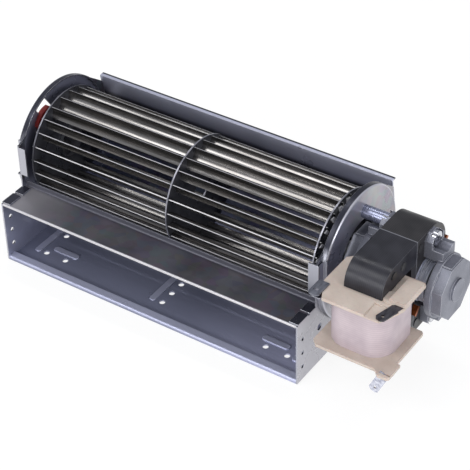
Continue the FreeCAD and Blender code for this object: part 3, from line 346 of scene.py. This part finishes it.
# painted highlight: the tabs are the blades' own strip, painted much paler than the blades so that they show
# bright
tone = add_node(crushed, "ShaderNodeMix", 2, {
    0: marks, 6: linear("b4b3b9"), 7: linear("fafafc"),
}, data_type="RGBA")
relief = add_node(crushed, "ShaderNodeBump", "Normal", {
    "Height": marks, "Distance": 0.0001, "Strength": 0.7,
})
surface = add_node(crushed, "ShaderNodeBsdfPrincipled", "BSDF", {
    "Base Color": tone, "Metallic": 0.3, "Roughness": 0.28, "Normal": relief,
})
add_node(crushed, "ShaderNodeOutputMaterial", None, {"Surface": surface})


def crimped_tabs(name, disc_node, outwards):
    """One row of tabs; outwards is -1 for the left disc and 1 for the right one."""
    low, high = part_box(disc_node)
    face = high.x if outwards > 0 else low.x
    axis = (low + high) / 2
    uneven = random.Random(disc_node)
    tabs = bmesh.new()
    blades, first_blade, row_radius, setback = 24, 2.4, 0.0284, 0.0004
    width, thick, reach, stand = 0.0030, 0.0005, 0.0021, 0.0005
    for blade in range(blades):
        turn = math.radians(360 / blades * blade + first_blade)
        middle = row_radius + uneven.uniform(-0.0002, 0.0002)
        skew = uneven.uniform(-0.25, 0.25)
        tilt = uneven.uniform(0.0, 0.0003)
        section = [
            (0.0, 0.0), (stand, 0.0), (stand + thick * 0.7, thick * 0.4), (stand + thick + tilt, reach),
            (stand + tilt, reach), (stand * 0.9, thick * 1.3), (0.0, thick * 1.1),
        ]
        rings = []
        # the tool has pinched both ends of the tab
        for side in (-0.5, -0.35, 0.35, 0.5):
            pinch = 0.82 if abs(side) == 0.5 else 1.0
            ring = []
            for height, slide in section:
                out = middle + side * width + skew * slide
                sweep = turn + (slide * pinch - setback) / middle
                ring.append(tabs.verts.new((
                    face + outwards * height * pinch,
                    axis.y + out * math.sin(sweep),
                    axis.z + out * math.cos(sweep),
                )))
            rings.append(ring)
        count = len(section)
        for first, second in zip(rings, rings[1:]):
            for step in range(count):
                after = (step + 1) % count
                tabs.faces.new((first[step], first[after], second[after], second[step]))
        tabs.faces.new(rings[0])
        tabs.faces.new(rings[-1])
    bmesh.ops.recalc_face_normals(tabs, faces=tabs.faces)
    mesh = bpy.data.meshes.new(name)
    tabs.to_mesh(mesh)
    tabs.free()
    mesh.materials.append(crushed)
    row = bpy.data.objects.new(name, mesh)
    bpy.context.scene.collection.objects.link(row)
    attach(row, "impeller")


crimped_tabs("left_crimped_tabs", "left_disc", -1)
crimped_tabs("right_crimped_tabs", "right_disc", 1)


# Turned and ground steel: the drum's stub and hub, the shaft, the screws, spacers and rivets, and
# the rotor, whose laminations are turned to size with the cast cage. Tool marks run round the axis.
def turned_steel(name, dark, light, rough, metallic=1.0):
    """Steel turned in a lathe: bright, with fine rings across X that break up its reflections."""
    steel = new_finish(name)
    place = add_node(steel, "ShaderNodeTexCoord", "Object", {})
    # turning marks, 0.1 mm feed on the real part, drawn 0.4 mm apart so that they show
    rings = add_node(steel, "ShaderNodeMapping", "Vector", {"Vector": place, "Scale": (1, 0.05, 0.05)})
    marks = add_node(steel, "ShaderNodeTexNoise", "Fac", {
        "Vector": rings, "Scale": 1000 / 0.4, "Detail": 2.0,
    })
    share = add_node(steel, "ShaderNodeMapRange", "Result", {
        "Value": marks, "From Min": 0.3, "From Max": 0.7,
    })
    tone = add_node(steel, "ShaderNodeMix", 2, {
        0: share, 6: linear(dark), 7: linear(light),
    }, data_type="RGBA")
    gloss = add_node(steel, "ShaderNodeMapRange", "Result", {
        "Value": marks, "From Min": 0.3, "From Max": 0.7, "To Min": rough - 0.05, "To Max": rough + 0.08,
    })
    relief = add_node(steel, "ShaderNodeBump", "Normal", {
        "Height": marks, "Distance": 0.00002, "Strength": 0.4,
    })
    surface = add_node(steel, "ShaderNodeBsdfPrincipled", "BSDF", {
        "Base Color": tone, "Metallic": metallic, "Roughness": gloss, "Normal": relief,
    })
    add_node(steel, "ShaderNodeOutputMaterial", None, {"Surface": surface})
    return steel


hub_steel = turned_steel("turned_hub_steel", "7c7c80", "b5b5ba", 0.3)
dress("stub_shaft", hub_steel)
dress("drive_hub", hub_steel)
dress("motor_shaft", turned_steel("ground_shaft_steel", "9a9a9f", "c8c8cc", 0.2))
dress("grub_screw", turned_steel("blackened_screw_steel", "1b1b1c", "303032", 0.4))
# the rotor is painted near white as a highlight where it stands in the shade of the core
dress("rotor", turned_steel("rotor_painted_highlight", "c4c9de", "f4f6ff", 0.24, 0.35))


# Bearing bushes: sintered from bronze powder, pressed to size and soaked in oil, so they are brown
# and porous. One is held in the rubber mount, and the others in the brackets.
bronze = new_finish("oil_soaked_sintered_bronze")
place = add_node(bronze, "ShaderNodeTexCoord", "Object", {})
# pores of 0.1 mm, drawn as 0.4 mm specks
pores = add_node(bronze, "ShaderNodeTexNoise", "Fac", {"Vector": place, "Scale": 1000 / 0.4, "Detail": 3.0})
tone = add_node(bronze, "ShaderNodeMix", 2, {
    0: pores, 6: linear("4a3520"), 7: linear("9b7648"),
}, data_type="RGBA")
gloss = add_node(bronze, "ShaderNodeMapRange", "Result", {
    "Value": pores, "From Min": 0.3, "From Max": 0.7, "To Min": 0.35, "To Max": 0.55,
})
relief = add_node(bronze, "ShaderNodeBump", "Normal", {
    "Height": pores, "Distance": 0.00005, "Strength": 0.6,
})
surface = add_node(bronze, "ShaderNodeBsdfPrincipled", "BSDF", {
    "Base Color": tone, "Metallic": 0.85, "Roughness": gloss, "Normal": relief,
})
add_node(bronze, "ShaderNodeOutputMaterial", None, {"Surface": surface})
for name in ("idle_bearing", "left_motor_bearing", "right_motor_bearing"):
    dress(name, bronze)


# Thrust washers: punched from hard paper fibre, red brown and matt. They lie loose on the shaft at
# both ends of the rotor.
fibre = new_finish("punched_paper_fibre")
place = add_node(fibre, "ShaderNodeTexCoord", "Object", {})
# fibres about 0.6 mm long
strands = add_node(fibre, "ShaderNodeTexNoise", "Fac", {
    "Vector": place, "Scale": 1000 / 0.6, "Detail": 4.0,
})
tone = add_node(fibre, "ShaderNodeMix", 2, {
    0: strands, 6: linear("5a3020"), 7: linear("8a5238"),
}, data_type="RGBA")
relief = add_node(fibre, "ShaderNodeBump", "Normal", {
    "Height": strands, "Distance": 0.00005, "Strength": 0.5,
})
surface = add_node(fibre, "ShaderNodeBsdfPrincipled", "BSDF", {
    "Base Color": tone, "Roughness": 0.7, "Normal": relief,
})
add_node(fibre, "ShaderNodeOutputMaterial", None, {"Surface": surface})
dress("thrust_washers", fibre)


# Rubber mount: moulded red silicone that holds the idle bearing, pressed into three windows of the
# left end plate. Matt, with a dusty bloom and a fine grain from the mould.
silicone = new_finish("moulded_red_silicone")
place = add_node(silicone, "ShaderNodeTexCoord", "Object", {})
# dust in patches of about 9 mm, mould grain 0.5 mm
dust = add_node(silicone, "ShaderNodeTexNoise", "Fac", {"Vector": place, "Scale": 1000 / 9, "Detail": 5.0})
grain = add_node(silicone, "ShaderNodeTexNoise", "Fac", {
    "Vector": place, "Scale": 1000 / 0.5, "Detail": 2.0,
})
tone = add_node(silicone, "ShaderNodeMix", 2, {
    0: dust, 6: linear("6b1512"), 7: linear("942a26"),
}, data_type="RGBA")
gloss = add_node(silicone, "ShaderNodeMapRange", "Result", {
    "Value": dust, "From Min": 0.3, "From Max": 0.7, "To Min": 0.42, "To Max": 0.62,
})
relief = add_node(silicone, "ShaderNodeBump", "Normal", {
    "Height": grain, "Distance": 0.00004, "Strength": 0.4,
})
surface = add_node(silicone, "ShaderNodeBsdfPrincipled", "BSDF", {
    "Base Color": tone, "Roughness": gloss, "Normal": relief,
})
add_node(silicone, "ShaderNodeOutputMaterial", None, {"Surface": surface})
dress("rubber_bearing_mount", silicone)


# Lamination stacks: half millimetre electrical steel, stamped, riveted and dipped in dark lacquer. Smooth
# and nearly black, with the faintest lines across X, and painted highlights along the edges and along the
# line where the halves meet.
def wave_scale(spacing):
    """Scale of a wave texture whose bands lie this many mm apart."""
    return math.pi / 10 / (spacing / 1000)


def lacquered_laminations(name, dark, light, rough):
    lacquer = new_finish(name)
    place = add_node(lacquer, "ShaderNodeTexCoord", "Object", {})
    # one line for each 0.5 mm sheet, drawn 1 mm apart so that they show
    sheets = add_node(lacquer, "ShaderNodeTexWave", "Fac", {
        "Vector": place, "Scale": wave_scale(1.0), "Distortion": 0.4, "Detail": 1.0,
    }, wave_type="BANDS", bands_direction="X")
    # grime in patches of about 7 mm
    grime = add_node(lacquer, "ShaderNodeTexNoise", "Fac", {
        "Vector": place, "Scale": 1000 / 7, "Detail": 5.0,
    })
    share = add_node(lacquer, "ShaderNodeMapRange", "Result", {
        "Value": grime, "From Min": 0.3, "From Max": 0.7,
    })
    tone = add_node(lacquer, "ShaderNodeMix", 2, {
        0: share, 6: linear(dark), 7: linear(light),
    }, data_type="RGBA")
    share = add_node(lacquer, "ShaderNodeMapRange", "Result", {
        "Value": sheets, "From Min": 0.6, "From Max": 1.0, "To Max": 0.04,
    })
    tone = add_node(lacquer, "ShaderNodeMix", 2, {0: share, 6: tone, 7: linear("8b8b90")}, data_type="RGBA")
    # painted highlight along the joint of the two cores
    depth = add_node(lacquer, "ShaderNodeSeparateXYZ", "Y", {"Vector": place})
    away = add_node(lacquer, "ShaderNodeMath", 0, {
        0: depth, 1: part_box("coil_core")[1].y,
    }, operation="SUBTRACT")
    away = add_node(lacquer, "ShaderNodeMath", 0, {0: away}, operation="ABSOLUTE")
    painted_joint_highlight = add_node(lacquer, "ShaderNodeMapRange", "Result", {
        "Value": away, "From Min": 0.0004, "From Max": 0.0001, "To Max": 0.7,
    })
    tone = add_node(lacquer, "ShaderNodeMix", 2, {0: painted_joint_highlight, 6: tone, 7: linear("8f9098")}, data_type="RGBA")
    gloss = add_node(lacquer, "ShaderNodeMapRange", "Result", {
        "Value": grime, "From Min": 0.3, "From Max": 0.7, "To Min": rough - 0.05, "To Max": rough + 0.1,
    })
    # edges rounded by 0.3 mm of dipping, with a painted highlight along them
    rounded, painted_edge_highlight = edge_highlight_and_soiling(lacquer, 0.0003, 0.97, 0.8, 0.6)
    tone = add_node(lacquer, "ShaderNodeMix", 2, {0: painted_edge_highlight, 6: tone, 7: linear("83848c")}, data_type="RGBA")
    relief = add_node(lacquer, "ShaderNodeBump", "Normal", {
        "Height": sheets, "Distance": 0.000006, "Strength": 0.15, "Normal": rounded,
    })
    surface = add_node(lacquer, "ShaderNodeBsdfPrincipled", "BSDF", {
        "Base Color": tone, "Metallic": 0.15, "Roughness": gloss, "Normal": relief,
    })
    add_node(lacquer, "ShaderNodeOutputMaterial", None, {"Surface": surface})
    return lacquer


dress("coil_core", lacquered_laminations("blue_black_core_lacquer", "17171f", "24242d", 0.34))
dress("pole_core", lacquered_laminations("brown_black_core_lacquer", "1a191c", "282629", 0.38))


# Rivets of the stack: mild steel pins that hold the laminations together. They were closed before
# the stack was dipped, so the lacquer covers their heads.
dress("stack_rivets", turned_steel("lacquered_rivet_steel", "333335", "545456", 0.38, 0.6))


# Shading rings: copper bar bent round part of each pole, through a slot of the core, and brazed. The
# torch has stained it from dull red to orange.
copper = new_finish("heat_stained_copper")
place = add_node(copper, "ShaderNodeTexCoord", "Object", {})
# stains about 2.5 mm across
tarnish = add_node(copper, "ShaderNodeTexNoise", "Fac", {
    "Vector": place, "Scale": 1000 / 2.5, "Detail": 5.0,
})
tone = add_node(copper, "ShaderNodeMix", 2, {
    0: tarnish, 6: linear("7a3218"), 7: linear("c0703c"),
}, data_type="RGBA")
gloss = add_node(copper, "ShaderNodeMapRange", "Result", {
    "Value": tarnish, "From Min": 0.3, "From Max": 0.7, "To Min": 0.25, "To Max": 0.5,
})
surface = add_node(copper, "ShaderNodeBsdfPrincipled", "BSDF", {
    "Base Color": tone, "Metallic": 0.8, "Roughness": gloss,
})
add_node(copper, "ShaderNodeOutputMaterial", None, {"Surface": surface})
dress("shading_rings", copper)


# Bearing brackets: zinc die castings, tumbled after casting and clamped on the stack by the long screws. Mid
# grey with a fine sandy grain, painted highlights on the corners and painted shade on the upper faces.
casting = new_finish("tumbled_zinc_casting")
place = add_node(casting, "ShaderNodeTexCoord", "Object", {})
# grain 0.5 mm, clouds 11 mm
grain = add_node(casting, "ShaderNodeTexNoise", "Fac", {
    "Vector": place, "Scale": 1000 / 0.5, "Detail": 4.0,
})
cloud = add_node(casting, "ShaderNodeTexNoise", "Fac", {"Vector": place, "Scale": 1000 / 11, "Detail": 4.0})
share = add_node(casting, "ShaderNodeMapRange", "Result", {
    "Value": cloud, "From Min": 0.3, "From Max": 0.7,
})
tone = add_node(casting, "ShaderNodeMix", 2, {
    0: share, 6: linear("72747f"), 7: linear("8b8d98"),
}, data_type="RGBA")
share = add_node(casting, "ShaderNodeMapRange", "Result", {
    "Value": grain, "From Min": 0.5, "From Max": 0.8, "To Max": 0.5,
})
tone = add_node(casting, "ShaderNodeMix", 2, {0: share, 6: tone, 7: linear("b9bac2")}, data_type="RGBA")
gloss = add_node(casting, "ShaderNodeMapRange", "Result", {
    "Value": grain, "From Min": 0.3, "From Max": 0.7, "To Min": 0.36, "To Max": 0.56,
})
# painted shade on the upper faces
facing = add_node(casting, "ShaderNodeTexCoord", "Normal", {})
upwards = add_node(casting, "ShaderNodeSeparateXYZ", "Z", {"Vector": facing})
painted_top_shade = add_node(casting, "ShaderNodeMapRange", "Result", {
    "Value": upwards, "From Min": 0.6, "From Max": 0.95, "To Max": 0.5,
})
tone = add_node(casting, "ShaderNodeMix", 2, {0: painted_top_shade, 6: tone, 7: linear("4e4e59")}, data_type="RGBA")
# corners rounded by 0.4 mm of tumbling, with a painted highlight on them
rounded, painted_corner_highlight = edge_highlight_and_soiling(casting, 0.0004, 0.98, 0.85, 1.0)
tone = add_node(casting, "ShaderNodeMix", 2, {0: painted_corner_highlight, 6: tone, 7: linear("c6c7cf")}, data_type="RGBA")
relief = add_node(casting, "ShaderNodeBump", "Normal", {
    "Height": grain, "Distance": 0.00008, "Strength": 0.6, "Normal": rounded,
})
surface = add_node(casting, "ShaderNodeBsdfPrincipled", "BSDF", {
    "Base Color": tone, "Metallic": 0.55, "Roughness": gloss, "Normal": relief,
})
add_node(casting, "ShaderNodeOutputMaterial", None, {"Surface": surface})
dress("left_bearing_bracket", casting)
dress("right_bearing_bracket", casting)


# Motor screws and spacers: two pan head screws that run through brackets, stack and turned spacers
# into the right end plate. Zinc plated steel, with the blue cast of a passivated finish.
dress("long_screws", turned_steel("blue_zinc_plated_screw", "b0b2ba", "e4e5ea", 0.16))
dress("motor_spacers", turned_steel("blue_zinc_plated_spacer", "6f7388", "a9adc4", 0.26, 0.8))


# Bobbin: moulded in natural nylon and pushed on the leg of the coil core. A greyish cream that heat
# has browned in patches, with a waxy sheen and slight flow marks.
nylon = new_finish("moulded_natural_nylon")
place = add_node(nylon, "ShaderNodeTexCoord", "Object", {})
# heat patches about 14 mm across, flow marks 1.2 mm apart
heat = add_node(nylon, "ShaderNodeTexNoise", "Fac", {"Vector": place, "Scale": 1000 / 14, "Detail": 4.0})
flow = add_node(nylon, "ShaderNodeTexNoise", "Fac", {"Vector": place, "Scale": 1000 / 1.2, "Detail": 3.0})
share = add_node(nylon, "ShaderNodeMapRange", "Result", {"Value": heat, "From Min": 0.3, "From Max": 0.7})
tone = add_node(nylon, "ShaderNodeMix", 2, {
    0: share, 6: linear("b5a69b"), 7: linear("c9bbb0"),
}, data_type="RGBA")
share = add_node(nylon, "ShaderNodeMapRange", "Result", {
    "Value": flow, "From Min": 0.55, "From Max": 0.8, "To Max": 0.35,
})
tone = add_node(nylon, "ShaderNodeMix", 2, {0: share, 6: tone, 7: linear("a3948a")}, data_type="RGBA")
gloss = add_node(nylon, "ShaderNodeMapRange", "Result", {
    "Value": heat, "From Min": 0.3, "From Max": 0.7, "To Min": 0.42, "To Max": 0.55,
})
# handling has darkened the edges
rounded, soiled = edge_highlight_and_soiling(nylon, 0.0003, 0.97, 0.8, 0.6)
tone = add_node(nylon, "ShaderNodeMix", 2, {0: soiled, 6: tone, 7: linear("7d6355")}, data_type="RGBA")
relief = add_node(nylon, "ShaderNodeBump", "Normal", {
    "Height": flow, "Distance": 0.00003, "Strength": 0.35, "Normal": rounded,
})
surface = add_node(nylon, "ShaderNodeBsdfPrincipled", "BSDF", {
    "Base Color": tone, "Roughness": gloss, "Normal": relief, "IOR": 1.53,
    "Subsurface Weight": 0.06, "Subsurface Scale": 0.002,
})
add_node(nylon, "ShaderNodeOutputMaterial", None, {"Surface": surface})
dress("coil_bobbin", nylon)


# Winding: enamelled wire under a few wraps of pale polyester tape, drawn so tight that the turns
# show through as soft lines round the coil. Pale lavender pink, a little glossy.
tape = new_finish("wound_polyester_tape")
place = add_node(tape, "ShaderNodeTexCoord", "Object", {})
# turns of 0.3 mm wire, drawn 1.3 mm apart so that they show
turns = add_node(tape, "ShaderNodeTexWave", "Fac", {
    "Vector": place, "Scale": wave_scale(1.3), "Distortion": 3.0, "Detail": 3.0, "Detail Scale": 0.6,
}, wave_type="BANDS", bands_direction="Z")
# patches of about 8 mm
patch = add_node(tape, "ShaderNodeTexNoise", "Fac", {"Vector": place, "Scale": 1000 / 8, "Detail": 4.0})
share = add_node(tape, "ShaderNodeMapRange", "Result", {"Value": patch, "From Min": 0.3, "From Max": 0.7})
tone = add_node(tape, "ShaderNodeMix", 2, {
    0: share, 6: linear("ad9fa5"), 7: linear("bfb1b5"),
}, data_type="RGBA")
share = add_node(tape, "ShaderNodeMapRange", "Result", {
    "Value": turns, "From Min": 0.2, "From Max": 0.9, "To Min": 0.2, "To Max": 0.0,
})
tone = add_node(tape, "ShaderNodeMix", 2, {0: share, 6: tone, 7: linear("8f7e88")}, data_type="RGBA")
gloss = add_node(tape, "ShaderNodeMapRange", "Result", {"Value": turns, "To Min": 0.36, "To Max": 0.5})
relief = add_node(tape, "ShaderNodeBump", "Normal", {"Height": turns, "Distance": 0.00006, "Strength": 0.4})
surface = add_node(tape, "ShaderNodeBsdfPrincipled", "BSDF", {
    "Base Color": tone, "Roughness": gloss, "Normal": relief, "Coat Weight": 0.12, "Coat Roughness": 0.3,
})
add_node(tape, "ShaderNodeOutputMaterial", None, {"Surface": surface})
dress("coil_winding", tape)


# Terminals: brass blades, stamped and tinned, and pushed into the bobbin's flanges. The upper one is painted
# dark as shade, the lower one is bright.
def tinned_brass(name, dark, light, rough):
    tin = new_finish(name)
    place = add_node(tin, "ShaderNodeTexCoord", "Object", {})
    # smears of tin about 1.6 mm wide, drawn out along Y
    drawn_out = add_node(tin, "ShaderNodeMapping", "Vector", {"Vector": place, "Scale": (1, 0.3, 1)})
    smear = add_node(tin, "ShaderNodeTexNoise", "Fac", {
        "Vector": drawn_out, "Scale": 1000 / 1.6, "Detail": 4.0,
    })
    share = add_node(tin, "ShaderNodeMapRange", "Result", {
        "Value": smear, "From Min": 0.3, "From Max": 0.7,
    })
    tone = add_node(tin, "ShaderNodeMix", 2, {
        0: share, 6: linear(dark), 7: linear(light),
    }, data_type="RGBA")
    gloss = add_node(tin, "ShaderNodeMapRange", "Result", {
        "Value": smear, "From Min": 0.3, "From Max": 0.7, "To Min": rough - 0.05, "To Max": rough + 0.1,
    })
    surface = add_node(tin, "ShaderNodeBsdfPrincipled", "BSDF", {
        "Base Color": tone, "Metallic": 0.9, "Roughness": gloss,
    })
    add_node(tin, "ShaderNodeOutputMaterial", None, {"Surface": surface})
    return tin


# painted shade: the upper terminal is painted dark where it stands in shade
dress("upper_terminal", tinned_brass("tinned_brass_painted_shade", "3b3a40", "5e5c63", 0.34))
dress("lower_terminal", tinned_brass("bright_tinned_brass", "a0a2b4", "eef0fb", 0.2))


# Corner blade: a third blade stamped from tinned brass, with a chamfered tip and a hole for the catch
# of a push-on connector. It lies on the left front corner of the bobbin's upper flange.
near_edge, far_edge, tip, root = 0.1023, 0.1083, -0.0588, -0.0474
chamfer, thick, hole_radius, hole_setback = 0.0012, 0.0008, 0.0010, 0.0044
flange_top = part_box("upper_terminal")[1].z
outline = [
    (near_edge, root), (near_edge, tip + chamfer), (near_edge + chamfer, tip),
    (far_edge - chamfer, tip), (far_edge, tip + chamfer), (far_edge, root),
]
hole = []
for step in range(24):
    turn = 2 * math.pi * step / 24
    across, back = hole_radius * math.cos(turn), hole_radius * math.sin(turn)
    hole.append(((near_edge + far_edge) / 2 + across, tip + hole_setback + back))
stamped = bmesh.new()
for ring in (outline, hole):
    corners = [stamped.verts.new((x, y, flange_top)) for x, y in ring]
    for first, second in zip(corners, corners[1:] + corners[:1]):
        stamped.edges.new((first, second))
bmesh.ops.triangle_fill(stamped, use_beauty=True, edges=stamped.edges[:])
raised = bmesh.ops.extrude_face_region(stamped, geom=stamped.faces[:])["geom"]
raised = [item for item in raised if isinstance(item, bmesh.types.BMVert)]
bmesh.ops.translate(stamped, vec=(0, 0, thick), verts=raised)
bmesh.ops.recalc_face_normals(stamped, faces=stamped.faces)
blade_mesh = bpy.data.meshes.new("corner_blade")
stamped.to_mesh(blade_mesh)
stamped.free()
blade_mesh.materials.append(tinned_brass("grey_tinned_brass", "64666f", "868892", 0.3))
corner_blade = bpy.data.objects.new("corner_blade", blade_mesh)
bpy.context.scene.collection.objects.link(corner_blade)
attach(corner_blade, "housing")


# Studio floor: a plain pale sheet, lit as the object is. The camera, mirrors and clear things see it
# nearly white, with enough of its own surface left to keep the fan's shadow.
paper = new_finish("pale_studio_floor")
path = paper.node_tree.nodes.new("ShaderNodeLightPath")
seen = add_node(paper, "ShaderNodeMath", 0, {
    0: path.outputs["Is Camera Ray"], 1: path.outputs["Is Glossy Ray"],
}, operation="MAXIMUM")
seen = add_node(paper, "ShaderNodeMath", 0, {
    0: seen, 1: path.outputs["Is Transmission Ray"],
}, operation="MAXIMUM")
share = add_node(paper, "ShaderNodeMath", 0, {0: seen, 1: 0.8}, operation="MULTIPLY")
plain = add_node(paper, "ShaderNodeBsdfPrincipled", "BSDF", {
    "Base Color": linear("fafafa"), "Roughness": 0.9,
})
glow = add_node(paper, "ShaderNodeEmission", "Emission", {"Color": (1, 1, 1, 1), "Strength": 1.05})
both = add_node(paper, "ShaderNodeMixShader", 0, {0: share, 1: plain, 2: glow})
add_node(paper, "ShaderNodeOutputMaterial", None, {"Surface": both})
half_floor, drop = 3.0, 0.0005
sheet = bmesh.new()
bmesh.ops.create_grid(sheet, x_segments=1, y_segments=1, size=half_floor)
floor_mesh = bpy.data.meshes.new("studio_floor")
sheet.to_mesh(floor_mesh)
sheet.free()
floor_mesh.materials.append(paper)
floor = bpy.data.objects.new("studio_floor", floor_mesh)
floor.location = (0, 0, -drop)
bpy.context.scene.collection.objects.link(floor)


# Light: a pale sky all round, a soft box from the upper left front, a low one in front that reaches
# into the duct, a fill from the right, and a long narrow one behind for the streaks on the blades.
sky = bpy.data.worlds.new("pale_sky")
bpy.context.scene.world = sky
sky.use_nodes = True
sky.node_tree.nodes["Background"].inputs["Color"].default_value = (0.9, 0.93, 1.0, 1)
sky.node_tree.nodes["Background"].inputs["Strength"].default_value = 0.45


def soft_box(name, place, aim, width, depth, watts):
    box = bpy.data.lights.new(name, "AREA")
    box.shape = "RECTANGLE"
    box.size, box.size_y, box.energy = width, depth, watts
    lamp = bpy.data.objects.new(name, box)
    lamp.location = place
    lamp.rotation_mode = "QUATERNION"
    lamp.rotation_quaternion = (Vector(aim) - Vector(place)).to_track_quat("-Z", "Y")
    bpy.context.scene.collection.objects.link(lamp)


soft_box("front_left_box", (-0.5, -0.7, 1.1), (0, 0, 0.05), 0.7, 0.5, 4.4)
soft_box("front_low_box", (0.0, -1.3, 0.45), (0, 0, 0.04), 1.0, 0.3, 8.5)
soft_box("right_box", (1.3, -0.3, 0.5), (0.05, 0, 0.05), 0.6, 0.6, 7.5)
soft_box("rear_strip_box", (0.0, 0.35, 1.2), (0, 0, 0.05), 1.2, 0.08, 3.6)


# Camera: where it stood for the photograph, from a fit of the housing's and the motor's edges. The
# angles are in degrees, and back_way points from the fan to the camera.
azimuth, elevation, roll = (math.radians(angle) for angle in (34.794, 37.861, -1.433))
back_way = Vector((
    math.sin(azimuth) * math.cos(elevation), -math.cos(azimuth) * math.cos(elevation), math.sin(elevation),
))
level = Vector((math.cos(azimuth), math.sin(azimuth), 0))
upright = back_way.cross(level)
right = level * math.cos(roll) + upright * math.sin(roll)
up = upright * math.cos(roll) - level * math.sin(roll)
lens = bpy.data.cameras.new("camera")
lens.lens = 129.57
lens.sensor_width = 36
lens.clip_start, lens.clip_end = 0.05, 20
camera = bpy.data.objects.new("camera", lens)
turned = Matrix((right, up, back_way)).transposed().to_4x4()
camera.matrix_world = Matrix.Translation((0.4298, -0.5891, 0.5860)) @ turned
bpy.context.scene.collection.objects.link(camera)
bpy.context.scene.camera = camera
bpy.context.scene.view_settings.view_transform = "Standard"
